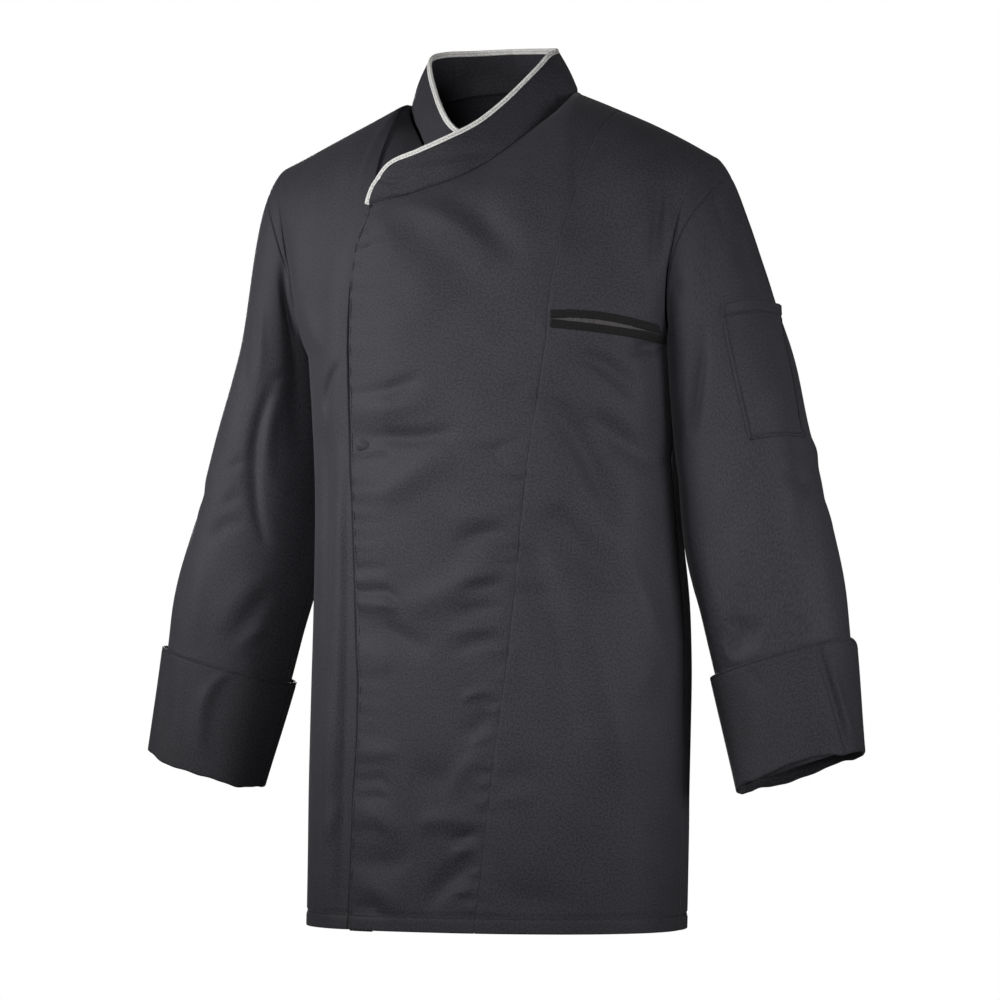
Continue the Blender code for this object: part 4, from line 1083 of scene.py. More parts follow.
def uneven(grid):
    """Soft unevenness of the cloth, the same for pieces that meet."""
    x, y, z = np.moveaxis(grid, -1, 0)
    height = 0.0
    for seed, (size, amount) in enumerate(UNEVEN):
        height = height + amount * noise(x + 1.7 * y, 0.6 * z - 0.5 * y, size, seed)
    return height


def crease(dx, dz, way_x, way_z, bend, width, depth, skew):
    """Height of one crease at dx, dz from its start; the way leads to its other end."""
    length = math.hypot(way_x, way_z)
    t = (dx * way_x + dz * way_z) / length ** 2
    near = np.clip(t, 0.0, 1.0)
    side = (dz * way_x - dx * way_z) / length - bend * 4 * near * (1 - near)
    q = side / width
    past = (t - near) * length / width
    fade = CREASE_END + (1 - CREASE_END) * np.sin(math.pi * near) ** 0.7
    return DEPTH * depth * (1 + skew * q) * np.exp(-q * q - past * past) * fade


def flat_creases(grid, creases):
    """Height of creases laid out by x and z."""
    height = np.zeros(grid.shape[:-1])
    for x0, z0, x1, z1, *form in creases:
        height += crease(grid[..., 0] - x0, grid[..., 2] - z0, x1 - x0, z1 - z0, *form)
    return height


def round_creases(turn, along, creases):
    """Height of creases laid out by turns and shares of a sleeve's length."""
    height = np.zeros(np.broadcast(turn, along).shape)
    for turn0, along0, turn1, along1, *form in creases:
        lead = turns_past(turn, turn0)
        way = (turn1 - turn0) * SLEEVE_GIRTH, (along1 - along0) * SLEEVE_LENGTH
        height += crease(lead * SLEEVE_GIRTH, (along - along0) * SLEEVE_LENGTH, *way, *form)
    return height


def band_creases(station, share, creases):
    """Height of creases laid out by stations and shares of the collar's height."""
    height = np.zeros(np.broadcast(station, share).shape)
    for station0, share0, station1, share1, *form in creases:
        way = (station1 - station0) * COLLAR_STATION, (share1 - share0) * COLLAR_HEIGHT
        dx = (station - station0) * COLLAR_STATION
        height += crease(dx, (share - share0) * COLLAR_HEIGHT, *way, *form)
    return height


def puckers(run, z, rows, slope):
    """Height of the puckers beside a seam: run is the distance from it."""
    height = np.zeros(run.shape)
    for place, reach, amount in rows:
        off = (z - place - slope * run) / PUCKER_WIDTH
        height += PUCKER_DEPTH * amount * np.exp(-off * off - (run / reach) ** 2)
    return height * (1 - np.exp(-(run / PUCKER_START) ** 2))


def groove(run, depth=GROOVE, width=GROOVE_WIDTH):
    return -depth * np.exp(-(run / width) ** 2)


def panel_groove(run, level):
    """The panel seam's fine line, fainter towards the shoulder."""
    return groove(run, SEAM_DEPTH, SEAM_WIDTH) * (1 - 0.8 * ramp(level, *SEAM_FADE))


def side_groove(run, z):
    """Groove at a body panel's side seam, fainter above, where the armhole's seam is the sleeve's."""
    return groove(run) * (1 - 0.85 * ramp(z, *ARMHOLE_LOW))


def armhole_groove(turn, along):
    """The armhole seam's line round a sleeve's cap."""
    lead = np.abs(turns_past(turn, 0.0))
    turns, shares = np.array(ARMHOLE).T
    run = (along - np.interp(lead, turns, shares)) * SLEEVE_LENGTH
    return groove(run, *ARMHOLE_GROOVE) * (1 - ramp(lead, turns[-2], turns[-1]))


def overlap_edge(level):
    """Column of the overlap's edge, which strays a little from the solid's straight one."""
    columns, levels = find_on_front(*OVERLAP.T)
    levels = np.append(levels, 1.0)
    columns = np.append(columns, COLLAR[-1]["column"])
    return np.interp(level, levels, columns)


def stitch_dent(run, place):
    return groove(run - place, STITCH_DENT, STITCH_DENT_WIDTH)


def front_relief(grid):
    """Height of the left front's own creases, studs and unevenness."""
    height = flat_creases(grid, LEFT_CREASES) + uneven(grid)
    for x, z, width, amount in STUDS:
        apart = ((grid[..., 0] - x) ** 2 + (grid[..., 2] - z) ** 2) / width ** 2
        height += amount * np.exp(-apart)
    return height


def body_levels():
    """Levels of a body panel's rows, from the hem up."""
    low = graded(BODY_LOW, FINE_STEP, STEP, STEP) / BODY_LOW - 1.0
    high = graded(BODY_HIGH, STEP, STEP, FINE_STEP) / BODY_HIGH
    return np.concatenate([low, high[1:]])


def body_grid(surface, first, last, width):
    """Fine grid of a body panel between two edges, rows from the hem up."""
    shares = graded(width, FINE_STEP, STEP, FINE_STEP) / width
    level = body_levels()[:, None] + 0.0 * shares
    start = first(level)
    return surface(start + (last(level) - start) * shares, level)


def right_front_grid():
    """Grid of the right front, its columns in line with the overlap's edge and closer there.

    The second result is the distance from that edge, less than zero where the cloth shows.
    """
    width = RIGHT_WIDTH
    level = body_levels()[:, None]
    start = side_seam(level)
    way = underlap_edge(level) - start
    plain = graded(width, STEP, STEP, STEP) / width
    rough = right_front(start + way * plain, level)
    edge = np.interp(rough[..., 2], OVERLAP[:, 1], OVERLAP[:, 0])
    meets = np.array([np.interp(0.0, row, plain) for row in rough[..., 0] - edge])[:, None]
    middle = float(np.median(meets))
    left = middle * width
    before = graded(left, FINE_STEP, STEP, STEP)
    near = np.arange(-EDGE_BAND, EDGE_BAND, 0.5 * FINE_STEP)
    after = middle * width + EDGE_BAND + graded(width - left - EDGE_BAND, FINE_STEP, STEP, FINE_STEP)
    places = np.concatenate([before[before < left - EDGE_BAND], left + near, after]) / width
    shares = np.where(places < middle, places / middle * meets, 1 - (1 - places) / (1 - middle) * (1 - meets))
    grid = right_front(start + way * shares, level)
    run = arcs(grid, 1)
    seen = np.array([np.interp(s, row, along) for s, row, along in zip(meets[:, 0], shares, run)])
    return grid, run - seen[:, None]


def hem_relief(up):
    """The hem's stitch line, with its doubled cloth a little proud below."""
    return groove(up - HEM_STITCH, *HEM_DENT) + HEM_STEP * (1 - ramp(up, HEM_STITCH - EDGE_RAMP, HEM_STITCH))


def line_at(values, run, distance):
    """Values on a grid's columns at a distance along them from their start."""
    picked = np.empty((values.shape[1], 3))
    for column in range(values.shape[1]):
        for k in range(3):
            picked[column, k] = np.interp(distance, run[:, column], values[:, column, k])
    return picked


def turn_under(grid, normals, reach, radius):
    """Fold a grid's first rows in behind it; gives the grid and the normals it was folded by."""
    run = arcs(grid, 0)
    rows = []
    away = []
    for distance in np.linspace(reach, radius, 8):
        away.append(line_at(normals, run, distance))
        rows.append(line_at(grid, run, distance) - away[-1] * 2 * radius)
    for angle in np.radians((160.0, 130.0, 105.0, 80.0, 55.0, 30.0, 12.0)):
        distance = radius * (1 - math.sin(angle))
        away.append(line_at(normals, run, distance))
        rows.append(line_at(grid, run, distance) - away[-1] * radius * (1 - math.cos(angle)))
    keep = int(np.searchsorted(run.min(axis=1), radius))
    return np.concatenate([np.array(rows), grid[keep:]]), np.concatenate([np.array(away), normals[keep:]])


def turn_side_under(grid, normals, reach, radius):
    """Fold a grid's first columns in behind it."""
    folded, _ = turn_under(grid.swapaxes(0, 1), normals.swapaxes(0, 1), reach, radius)
    return folded.swapaxes(0, 1)


def stitches_along(line, normals):
    """Starts, ends and normals of the stitches along a line."""
    run = arcs(line[:, None], 0)[:, 0]
    pitch = STITCH + STITCH_GAP
    starts = np.arange(int(run[-1] / pitch)) * pitch + STITCH_GAP
    ends = starts + STITCH
    a = np.stack([np.interp(starts, run, line[:, k]) for k in range(3)], -1)
    b = np.stack([np.interp(ends, run, line[:, k]) for k in range(3)], -1)
    n = np.stack([np.interp((starts + ends) / 2, run, normals[:, k]) for k in range(3)], -1)
    return a, b, unit(n)


def seam_stitches(grid, normals, distance, across=False):
    """Stitches at a distance from a grid's first row, or from its first column."""
    if across:
        grid = grid.swapaxes(0, 1)
        normals = normals.swapaxes(0, 1)
    run = arcs(grid, 0)
    return stitches_along(line_at(grid, run, distance), unit(line_at(normals, run, distance)))


def add_thread(name, runs, material, half=THREAD):
    """One object of small tapered stitches that lie on the cloth."""
    a, b, n = (np.concatenate(part) for part in zip(*runs))
    side = unit(np.cross(b - a, n))
    shares = np.array([0.0, 0.22, 0.78, 1.0])
    thick = np.array([0.35, 1.0, 1.0, 0.35]) * half
    rise = np.array([0.1, 0.8, 0.8, 0.1]) * half
    angles = np.arange(5) / 5 * 2 * math.pi
    middle = a[:, None] + (b - a)[:, None] * shares[:, None] + n[:, None] * rise[:, None]
    ring = side[:, None, None] * np.cos(angles)[:, None] + n[:, None, None] * np.sin(angles)[:, None]
    points = middle[:, :, None] + ring * thick[:, None, None]
    faces = []
    for r in range(3):
        for c in range(5):
            d = (c + 1) % 5
            faces.append((r * 5 + c, r * 5 + d, r * 5 + 5 + d, r * 5 + 5 + c))
    quads = (np.array(faces) + 20 * np.arange(len(a))[:, None, None]).reshape(-1, 4)
    mesh = bpy.data.meshes.new(name)
    mesh.from_pydata(points.reshape(-1, 3).tolist(), [], quads.tolist())
    return add_object(name, mesh, material)


def add_object(name, mesh, material):
    piece = bpy.data.objects.new(name, mesh)
    mesh.materials.append(material)
    mesh.shade_smooth()
    bpy.context.scene.collection.objects.link(piece)
    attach(piece, "root")
    return piece


def add_grid(name, grid, material, wall=0.0):
    """A piece from a grid, with UVs in metres; wall is the thickness given to it behind."""
    rows, columns = grid.shape[:2]
    index = np.arange(rows * columns).reshape(rows, columns)
    corners = [index[:-1, :-1], index[:-1, 1:], index[1:, 1:], index[1:, :-1]]
    quads = np.stack(corners, -1).reshape(-1, 4)
    mesh = bpy.data.meshes.new(name)
    mesh.from_pydata(grid.reshape(-1, 3).tolist(), [], quads.tolist())
    places = np.stack([arcs(grid, 1), arcs(grid, 0)], -1).reshape(-1, 2)
    layer = mesh.uv_layers.new(name="UVMap")
    layer.data.foreach_set("uv", places[quads.reshape(-1)].ravel())
    piece = add_object(name, mesh, material)
    if wall:
        shell = piece.modifiers.new("cloth", "SOLIDIFY")
        shell.thickness = wall
        shell.offset = -1.0
    return piece


def dress_left_panel(cloth, thread):
    grid = body_grid(left_front, overlap_edge, panel_seam_column, PANEL_WIDTH)
    level = body_levels()[:, None]
    across = arcs(grid, 1)
    left = across
    right = across[:, -1:] - across
    up = arcs(grid, 0)
    down = up[-1:] - up
    height = front_relief(grid)
    height += puckers(left, grid[..., 2], EDGE_PUCKERS, PUCKER_SLOPE)
    height += puckers(right, grid[..., 2], SEAM_PUCKERS, PUCKER_SLOPE)
    height += panel_groove(right, level) + groove(down, NECK_DIVE) + hem_relief(up)
    height += stitch_dent(left, PLACKET_STITCH)
    grid = grid + normals_of(grid) * height[..., None]
    normals = normals_of(grid)
    runs = [seam_stitches(grid, normals, HEM_STITCH), seam_stitches(grid, normals, PLACKET_STITCH, True)]
    grid, normals = turn_under(grid, normals, HEM_REACH, HEM_RADIUS)
    grid = turn_side_under(grid, normals, PLACKET_REACH, PLACKET_RADIUS)
    piece = add_grid("cloth_left_front_panel", grid, cloth, CLOTH)
    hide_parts("left_front_panel")
    sewing = add_thread("stitches_left_front_panel", runs, thread)


def dress_left_side(cloth, thread):
    grid = body_grid(left_front, panel_seam_column, side_seam, PANEL_WIDTH)
    across = arcs(grid, 1)
    left = across
    right = across[:, -1:] - across
    up = arcs(grid, 0)
    down = up[-1:] - up
    height = front_relief(grid) + PUCKER_BEYOND * puckers(left, grid[..., 2], SEAM_PUCKERS, -PUCKER_SLOPE)
    height += panel_groove(left, body_levels()[:, None])
    height += side_groove(right, grid[..., 2]) + groove(down, NECK_DIVE) + hem_relief(up)
    grid = grid + normals_of(grid) * height[..., None]
    normals = normals_of(grid)
    runs = [seam_stitches(grid, normals, HEM_STITCH)]
    grid, _ = turn_under(grid, normals, HEM_REACH, HEM_RADIUS)
    piece = add_grid("cloth_left_front_side", grid, cloth, CLOTH)
    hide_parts("left_front_side")
    sewing = add_thread("stitches_left_front_side", runs, thread)


def dress_right_front(cloth, thread):
    grid, beside = right_front_grid()
    across = arcs(grid, 1)
    up = arcs(grid, 0)
    down = up[-1:] - up
    height = (flat_creases(grid, RIGHT_CREASES) + uneven(grid)) * (1 - 0.7 * ramp(grid[..., 0], *TUCK_ACROSS))
    height += side_groove(across, grid[..., 2]) + groove(down, NECK_DIVE) + hem_relief(up)
    low, high = EDGE_DIP
    dip = low + (high - low) * ramp(grid[..., 2], *EDGE_DIP_LEVEL)
    height -= dip * ramp(beside, *EDGE_DIP_SPAN)
    grid = grid + normals_of(grid) * height[..., None]
    grid[..., 2] += UNDERLAP_LIFT * ramp(beside, *UNDERLAP_SPAN) * (1 - ramp(up, 0.0, 0.05))
    normals = normals_of(grid)
    runs = [seam_stitches(grid, normals, HEM_STITCH)]
    grid, _ = turn_under(grid, normals, HEM_REACH, HEM_RADIUS)
    piece = add_grid("cloth_right_front", grid, cloth, CLOTH)
    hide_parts("right_front")
    sewing = add_thread("stitches_right_front", runs, thread)


def dress_back(cloth, thread):
    grid = body_grid(back_point, side_seam, right_side_seam, BACK_WIDTH)
    across = arcs(grid, 1)
    right = across[:, -1:] - across
    up = arcs(grid, 0)
    down = up[-1:] - up
    height = flat_creases(grid, BACK_CREASES) + uneven(grid)
    height += side_groove(across, grid[..., 2]) + side_groove(right, grid[..., 2])
    height += groove(down, NECK_DIVE) + hem_relief(up)
    grid = grid + normals_of(grid) * height[..., None]
    normals = normals_of(grid)
    runs = [seam_stitches(grid, normals, HEM_STITCH)]
    grid, _ = turn_under(grid, normals, HEM_REACH, HEM_RADIUS)
    piece = add_grid("cloth_back", grid, cloth, CLOTH)
    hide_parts("back")
    sewing = add_thread("stitches_back", runs, thread)


def sleeve_turns(side):
    """Turns round a sleeve from its inner seam and back to it."""
    turns = np.linspace(0.5, 1.5, round(SLEEVE_GIRTH / STEP) + 1)
    return turns[::side]


def dress_sleeve(name, side, creases, cloth):
    turns = sleeve_turns(side)
    cap = np.arange(0.0, ARMHOLE_REACH, FINE_STEP)
    rest = ARMHOLE_REACH + graded(SLEEVE_LENGTH - ARMHOLE_REACH, FINE_STEP, STEP, STEP)
    turn, along = np.meshgrid(turns, np.concatenate([cap, rest]) / SLEEVE_LENGTH)
    grid = sleeve_point(turn, along, side)
    down = arcs(grid, 0)
    across = arcs(grid, 1)
    seam = np.minimum(across, across[:, -1:] - across)
    height = round_creases(turn, along, creases) + uneven(grid)
    lead = np.abs(turns_past(turn, 0.0))
    low = ramp(lead, ARMHOLE[-2][0], ARMHOLE[-1][0])
    height += groove(down, 0.0009, 0.0018) * (0.2 + 0.8 * low) + groove(seam, 0.0006)
    height += armhole_groove(turn, along)
    grid = grid + normals_of(grid, True) * height[..., None]
    back = unit(grid[0] - grid[1]) * 0.0022 - normals_of(grid, True)[0] * 0.0012
    grid = np.concatenate([(grid[0] + back)[None], grid])
    piece = add_grid("cloth_" + name, grid, cloth, CLOTH)
    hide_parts(name)


def cuff_path():
    """Rows of a cuff from inside its top edge, down its face and up inside its mouth.

    Each is the distance below the top edge and the distance off the sleeve's face.
    """
    length = (1 - CUFF_TOP) * SLEEVE_LENGTH
    face = CUFF_STAND + CUFF_WALL
    top = face + CUFF_FLARE
    rows = [(d, top - 2 * CUFF_FOLD) for d in np.linspace(0.014, CUFF_FOLD, 6)]
    for angle in np.radians((150.0, 115.0, 80.0, 45.0, 15.0)):
        rows.append((CUFF_FOLD * (1 - math.sin(angle)), top - CUFF_FOLD * (1 - math.cos(angle))))
    for d in graded(length - CUFF_FOLD, FINE_STEP, STEP, FINE_STEP) + CUFF_FOLD:
        rows.append((d, face + CUFF_FLARE * (1 - float(smooth(d / length)))))
    middle = (face - CUFF_LIP) / 2
    for angle in np.radians((25.0, 50.0, 75.0, 100.0, 125.0, 155.0)):
        rise = CUFF_TILT * (1 - math.cos(angle)) / 2
        rows.append((length + CUFF_ROLL * math.sin(angle) - rise, middle + (face - middle) * math.cos(angle)))
    rows += [(length - CUFF_TILT - d, -CUFF_LIP) for d in np.linspace(0.0, CUFF_INSIDE, 8)]
    return length, np.array(rows)


def dress_cuff(name, side, creases, cloth, thread):
    turns = sleeve_turns(side)
    length, path = cuff_path()
    last = offset_sleeve(turns, 1.0, 0.0, side)
    way = unit(last - offset_sleeve(turns, 0.97, 0.0, side))
    wave = 0.0
    for waves, amount in CUFF_WAVES:
        wave = wave + amount * np.sin(2 * math.pi * (waves * turns + CUFF_SHIFT * waves * side))
    raised = 0.0
    for middle, breadth, lift in CUFF_LIFTS if side > 0 else []:
        raised = raised + lift * np.exp(-(turns_past(turns, middle) / breadth) ** 2)
    middle, breadth, drop = CUFF_CORNER
    corner = drop * np.exp(-(turns_past(turns, middle) / breadth) ** 2) * (side > 0)
    rows = []
    for down, off in path:
        share = CUFF_TOP + min(down / length, 1.0) * (1 - CUFF_TOP)
        hold = CUFF_HOLD[0] + (1 - CUFF_HOLD[0]) * float(ramp(down, 0.0, CUFF_HOLD[1]))
        relief = round_creases(turns, np.full(turns.shape, share), creases) * hold
        relief = relief + (stitch_dent(down, CUFF_STITCH) if off > 0.003 else 0.0)
        ring = offset_sleeve(turns, share, off, side)
        outward = unit(ring - offset_sleeve(turns, share, off - 0.001, side))
        ring = ring + outward * (relief + 0.5 * uneven(ring))[:, None]
        loose = float(ramp(down, length - CUFF_LOOSE, length))
        past = max(down - length, 0.0) + (CUFF_WAVE * wave - raised) * loose
        past = past + corner * (1 - float(ramp(down, 0.0, CUFF_CORNER_REACH)))
        rows.append(ring + way * np.broadcast_to(past, turns.shape)[:, None])
    grid = np.array(rows)
    face = grid[10:]
    runs = [seam_stitches(face, normals_of(face, True), CUFF_STITCH - CUFF_FOLD)]
    piece = add_grid("cloth_" + name, grid, cloth, CLOTH)
    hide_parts(name)
    sewing = add_thread("stitches_" + name, runs, thread)


def hidden_end():
    """Station at which the collar's hidden end lies."""
    front = COLLAR[:NECK_ROW - 1:-1]
    top = 1.0 - (1.0 - NECK_COLUMN) * RIGHT_COLUMNS / RIGHT_SHOULDER_COLUMNS
    rows = [COLLAR.index(row) for row in front]
    return len(COLLAR) - 1 + float(np.interp(top, column_of(front, "column"), rows))


def dress_collar(cloth):
    stations = np.linspace(0.0, hidden_end(), 420)
    shares = graded(COLLAR_HEIGHT, FINE_STEP, 0.0020, FINE_STEP) / COLLAR_HEIGHT
    grid = np.array([collar_point(stations, np.full(stations.shape, s)) for s in shares])
    station, share = np.meshgrid(stations, shares)
    height = band_creases(station, share, COLLAR_CREASES) + 0.5 * uneven(grid)
    height += groove(arcs(grid, 0), 0.0008) + 0.0008
    normals = normals_of(grid)
    grid = grid + normals * height[..., None]
    tucked = grid[0] + unit(grid[0] - grid[1]) * 0.0020 - normals[0] * 0.0022
    grid = np.concatenate([tucked[None], grid])
    piece = add_grid("cloth_collar", grid, cloth, COLLAR_WALL)
    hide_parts("collar")


def binding_frames():
    """Places, ways out and ways into the wall along the collar's end and free edge."""
    stations = np.linspace(0.0, hidden_end(), 620)
    edge, up, inward = collar_frame(stations)
    heights = np.linspace(-0.02, 1.0, 30)
    end = collar_point(np.zeros(len(heights)), heights)
    beside = end - collar_point(np.full(len(heights), 0.25), heights)
    rising = unit(end[-1] - end[0])
    beside = unit(beside - (beside @ rising)[:, None] * rising)
    turn = np.linspace(0.0, 1.0, 9)[1:-1, None]
    corner = unit(beside[-1] * (1 - turn) + up[0] * turn)
    place = np.concatenate([end, np.repeat(edge[:1], len(corner), 0), edge])
    out = np.concatenate([beside, corner, up])
    into = np.concatenate([np.repeat(inward[:1], len(end) + len(corner), 0), inward])
    return place, out, into


def dress_piping(piping, thread):
    place, out, into = binding_frames()
    middle = place + into * COLLAR_WALL / 2 + out * BINDING_RISE
    run = arcs(middle[:, None], 0)
    angle = np.linspace(0.0, 2 * math.pi, 37)
    c = np.cos(angle)
    s = np.sin(angle)
    high = BINDING_HIGH * np.sign(c) * np.abs(c) ** 0.8
    ripple = BINDING_RIPPLE * np.sin(2 * math.pi * run / (STITCH + STITCH_GAP))
    dent = (BINDING_GROOVE + ripple) * np.exp(-(c / 0.24) ** 2)
    thick = np.sign(s) * (BINDING_THICK * np.abs(s) ** 0.7 - dent * np.abs(s))
    grid = middle[:, None] + out[:, None] * high[:, None] + into[:, None] * thick[..., None]
    grid = np.concatenate([middle[None, :1].repeat(37, 1), grid, middle[None, -1:].repeat(37, 1)])
    piece = add_grid("binding_collar", grid[:, ::-1], piping)
    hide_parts("collar_piping")
    front = middle - into * (BINDING_THICK - BINDING_GROOVE)
    behind = middle + into * (BINDING_THICK - BINDING_GROOVE)
    runs = [zigzag(stitches_along(front, -into)), zigzag(stitches_along(behind, into))]
    add_thread("stitches_binding", runs, thread, BINDING_THREAD)


def zigzag(run):
    """Tilt stitches in turn to one side and the other."""
    a, b, n = run
    side = unit(np.cross(b - a, n)) * STITCH_TILT
    flip = np.where(np.arange(len(a)) % 2, 1.0, -1.0)[:, None]
    return a + side * flip, b - side * flip, n


def lay_on_front(x, z, off):
    """Points off the left front's creased face at distances x and heights z."""
    column, level = find_on_front(x, z)
    base = left_front(column, level)
    normal = front_offset(column, level, 1.0) - base
    return base + normal * (front_relief(base) + off)[:, None]


def pocket_grid(shares, offsets, off):
    """Grid along the chest pocket: offsets are up from the slit, one array for each row."""
    x = np.interp(shares, (0, 1), (SLIT_INNER[0], SLIT_OUTER[0]))
    line = np.interp(shares, (0, 1), (SLIT_INNER[1], SLIT_OUTER[1]))
    line = line + SLIT_BOW * np.sin(math.pi * shares)
    return np.array([lay_on_front(x, line + offset, o) for offset, o in zip(offsets, off)])


def dress_chest_pocket(welt, slit, thread):
    shares = np.linspace(0.0, 1.0, 70)
    open_share = np.clip((shares - SLIT_SPAN[0]) / (SLIT_SPAN[1] - SLIT_SPAN[0]), 0.0, 1.0)
    ragged = 1 + 0.16 * noise(shares * 0.086, 0 * shares, 0.0035, 7)
    opening = SLIT_OPEN * ragged * np.sin(math.pi * open_share) ** 0.8
    across = np.linspace(0.0, 1.0, 13)
    rise = WELT_RISE * (1 - np.abs(2 * across - 1) ** 3.0) ** 0.6 - 0.0003
    ends = 1 - np.exp(-(np.minimum(shares, 1 - shares) / 0.012) ** 2)
    inner = [opening / 2 * k for k in np.linspace(-1.6, 1.6, 9)]
    gap = add_grid("slit_pocket", pocket_grid(shares, inner, [0.0003 + 0 * shares] * 9), slit)
    tacks = []
    for share in (0.012, 0.988):
        for place in np.linspace(-0.0035, 0.0035, 6):
            middle = pocket_grid(np.array([share]), [np.array([place])], [0.0012])[0]
            reach = np.array([[0.0011, 0.0, 0.0]])
            tacks.append((middle - reach, middle + reach, np.array([[0.0, -1.0, 0.0]])))
    sewing = add_thread("stitches_pocket_ends", tacks, thread, 0.0003)
    for name, sign in (("upper", 1.0), ("lower", -1.0)):
        rows = [sign * (opening / 2 + WELT_HIGH * share) for share in across]
        lift = [up * ends - 0.0004 * (1 - ends) for up in rise]
        grid = pocket_grid(shares, rows, lift)
        if sign < 0:
            grid = grid[::-1]
        piece = add_grid("welt_" + name, grid, welt)
        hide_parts("pocket_welt_" + name)


def dress_sleeve_pocket(cloth, thread):
    width = (PATCH_FRONT[0] - PATCH_REAR[0]) * SLEEVE_GIRTH
    length = (PATCH_ENDS[1] - PATCH_ENDS[0]) * SLEEVE_LENGTH
    share = graded(width, 0.0006, 0.0013, 0.0006) / width
    fall = graded(length, 0.0006, 0.0013, 0.0006)[:, None] / length
    rear = PATCH_REAR[0] + (PATCH_REAR[1] - PATCH_REAR[0]) * fall
    front = PATCH_FRONT[0] + (PATCH_FRONT[1] - PATCH_FRONT[0]) * fall
    turn = rear + (front - rear) * share
    along = PATCH_ENDS[0] + (PATCH_ENDS[1] - PATCH_ENDS[0]) * fall + 0 * share
    base = sleeve_point(turn, along, 1)
    normals = normals_of(base)
    across = arcs(base, 1)
    down = arcs(base, 0)
    right = across[:, -1:] - across
    low = down[-1:] - down
    sewn = np.minimum(np.minimum(across, right), low)
    rise = PATCH_RISE - (PATCH_RISE + PATCH_SUNK) * np.exp(-(sewn / PATCH_EDGE) ** 2)
    step = PATCH_STEP * (1 - ramp(down, PATCH_HEM - EDGE_RAMP, PATCH_HEM))
    rise += groove(down - PATCH_HEM, *PATCH_DENT) + step
    for place in PATCH_STITCHES:
        rise += groove(sewn - place, *PATCH_DENT)
    corner = np.exp(-((across / PATCH_SPREAD[0]) ** 2 + (down / PATCH_SPREAD[1]) ** 2))
    rise += PATCH_CORNER * corner + PATCH_LIP[0] * np.exp(-(down / PATCH_LIP[1]) ** 2)
    rise += round_creases(turn, along, SLEEVE_LEFT_CREASES) + uneven(base)
    grid = base + normals * rise[..., None]
    normals = normals_of(grid)
    runs = [seam_stitches(grid, normals, PATCH_HEM)]
    for place in PATCH_STITCHES:
        runs.append(seam_stitches(grid[::-1], normals[::-1], place))
        runs.append(seam_stitches(grid[:, ::-1], normals[:, ::-1], place, True))
        runs.append(seam_stitches(grid, normals, place, True))
    piece = add_grid("cloth_sleeve_pocket", grid, cloth, PATCH_CLOTH)
    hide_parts("sleeve_pocket")
    sewing = add_thread("stitches_sleeve_pocket", runs, thread)


def cloth_material(name, dark, light, roughness, pitch, sheen):
    """Twill: diagonal ribs at a pitch in metres, yarn grain and soft uneven shade."""
    material = bpy.data.materials.new(name)
    material.use_nodes = True
    nodes = material.node_tree.nodes
    links = material.node_tree.links
    shader = nodes["Principled BSDF"]
    place = nodes.new("ShaderNodeUVMap")
    place.uv_map = "UVMap"
    ribs = nodes.new("ShaderNodeTexWave")
    ribs.wave_type = "BANDS"
    ribs.bands_direction = "DIAGONAL"
    ribs.inputs["Scale"].default_value = 0.444 / pitch
    ribs.inputs["Distortion"].default_value = 1.2
    ribs.inputs["Detail"].default_value = 1.0
    ribs.inputs["Detail Scale"].default_value = 3.0
    grain = nodes.new("ShaderNodeTexNoise")
    grain.inputs["Scale"].default_value = 520.0
    grain.inputs["Detail"].default_value = 1.0
    shade = nodes.new("ShaderNodeTexNoise")
    shade.inputs["Scale"].default_value = 22.0
    shade.inputs["Detail"].default_value = 4.0
    for texture in (ribs, grain, shade):
        links.new(place.outputs["UV"], texture.inputs["Vector"])
    mixed = add_math(nodes, links, "ADD", scaled(nodes, links, ribs.outputs["Fac"], 0.05),
                     scaled(nodes, links, grain.outputs["Fac"], 0.79))
    mixed = add_math(nodes, links, "ADD", mixed, scaled(nodes, links, shade.outputs["Fac"], 0.16))
    ramp_node = nodes.new("ShaderNodeValToRGB")
    ramp_node.color_ramp.elements[0].position = 0.38
    ramp_node.color_ramp.elements[0].color = (*dark, 1.0)
    ramp_node.color_ramp.elements[1].position = 0.62
    ramp_node.color_ramp.elements[1].color = (*light, 1.0)
    links.new(mixed, ramp_node.inputs["Fac"])
    links.new(ramp_node.outputs["Color"], shader.inputs["Base Color"])
    rough = nodes.new("ShaderNodeMapRange")
    rough.inputs["To Min"].default_value = roughness - 0.08
    rough.inputs["To Max"].default_value = min(roughness + 0.10, 1.0)
    links.new(grain.outputs["Fac"], rough.inputs["Value"])
    links.new(rough.outputs["Result"], shader.inputs["Roughness"])
    bump = nodes.new("ShaderNodeBump")
    bump.inputs["Strength"].default_value = 0.45
    bump.inputs["Distance"].default_value = 0.0005
    relief = add_math(nodes, links, "ADD", scaled(nodes, links, ribs.outputs["Fac"], 0.12),
                      scaled(nodes, links, grain.outputs["Fac"], 0.8))
    links.new(relief, bump.inputs["Height"])
    links.new(bump.outputs["Normal"], shader.inputs["Normal"])
    shader.inputs["Specular IOR Level"].default_value = 0.22
    shader.inputs["Sheen Weight"].default_value = sheen
    shader.inputs["Sheen Roughness"].default_value = 0.45
    material.diffuse_color = (*light, 1.0)
    return material


def add_math(nodes, links, operation, first, second):
    node = nodes.new("ShaderNodeMath")
    node.operation = operation
    links.new(first, node.inputs[0])
    links.new(second, node.inputs[1])
    return node.outputs[0]


def scaled(nodes, links, value, amount):
    node = nodes.new("ShaderNodeMath")
    node.operation = "MULTIPLY"
    links.new(value, node.inputs[0])
    node.inputs[1].default_value = amount
    return node.outputs[0]


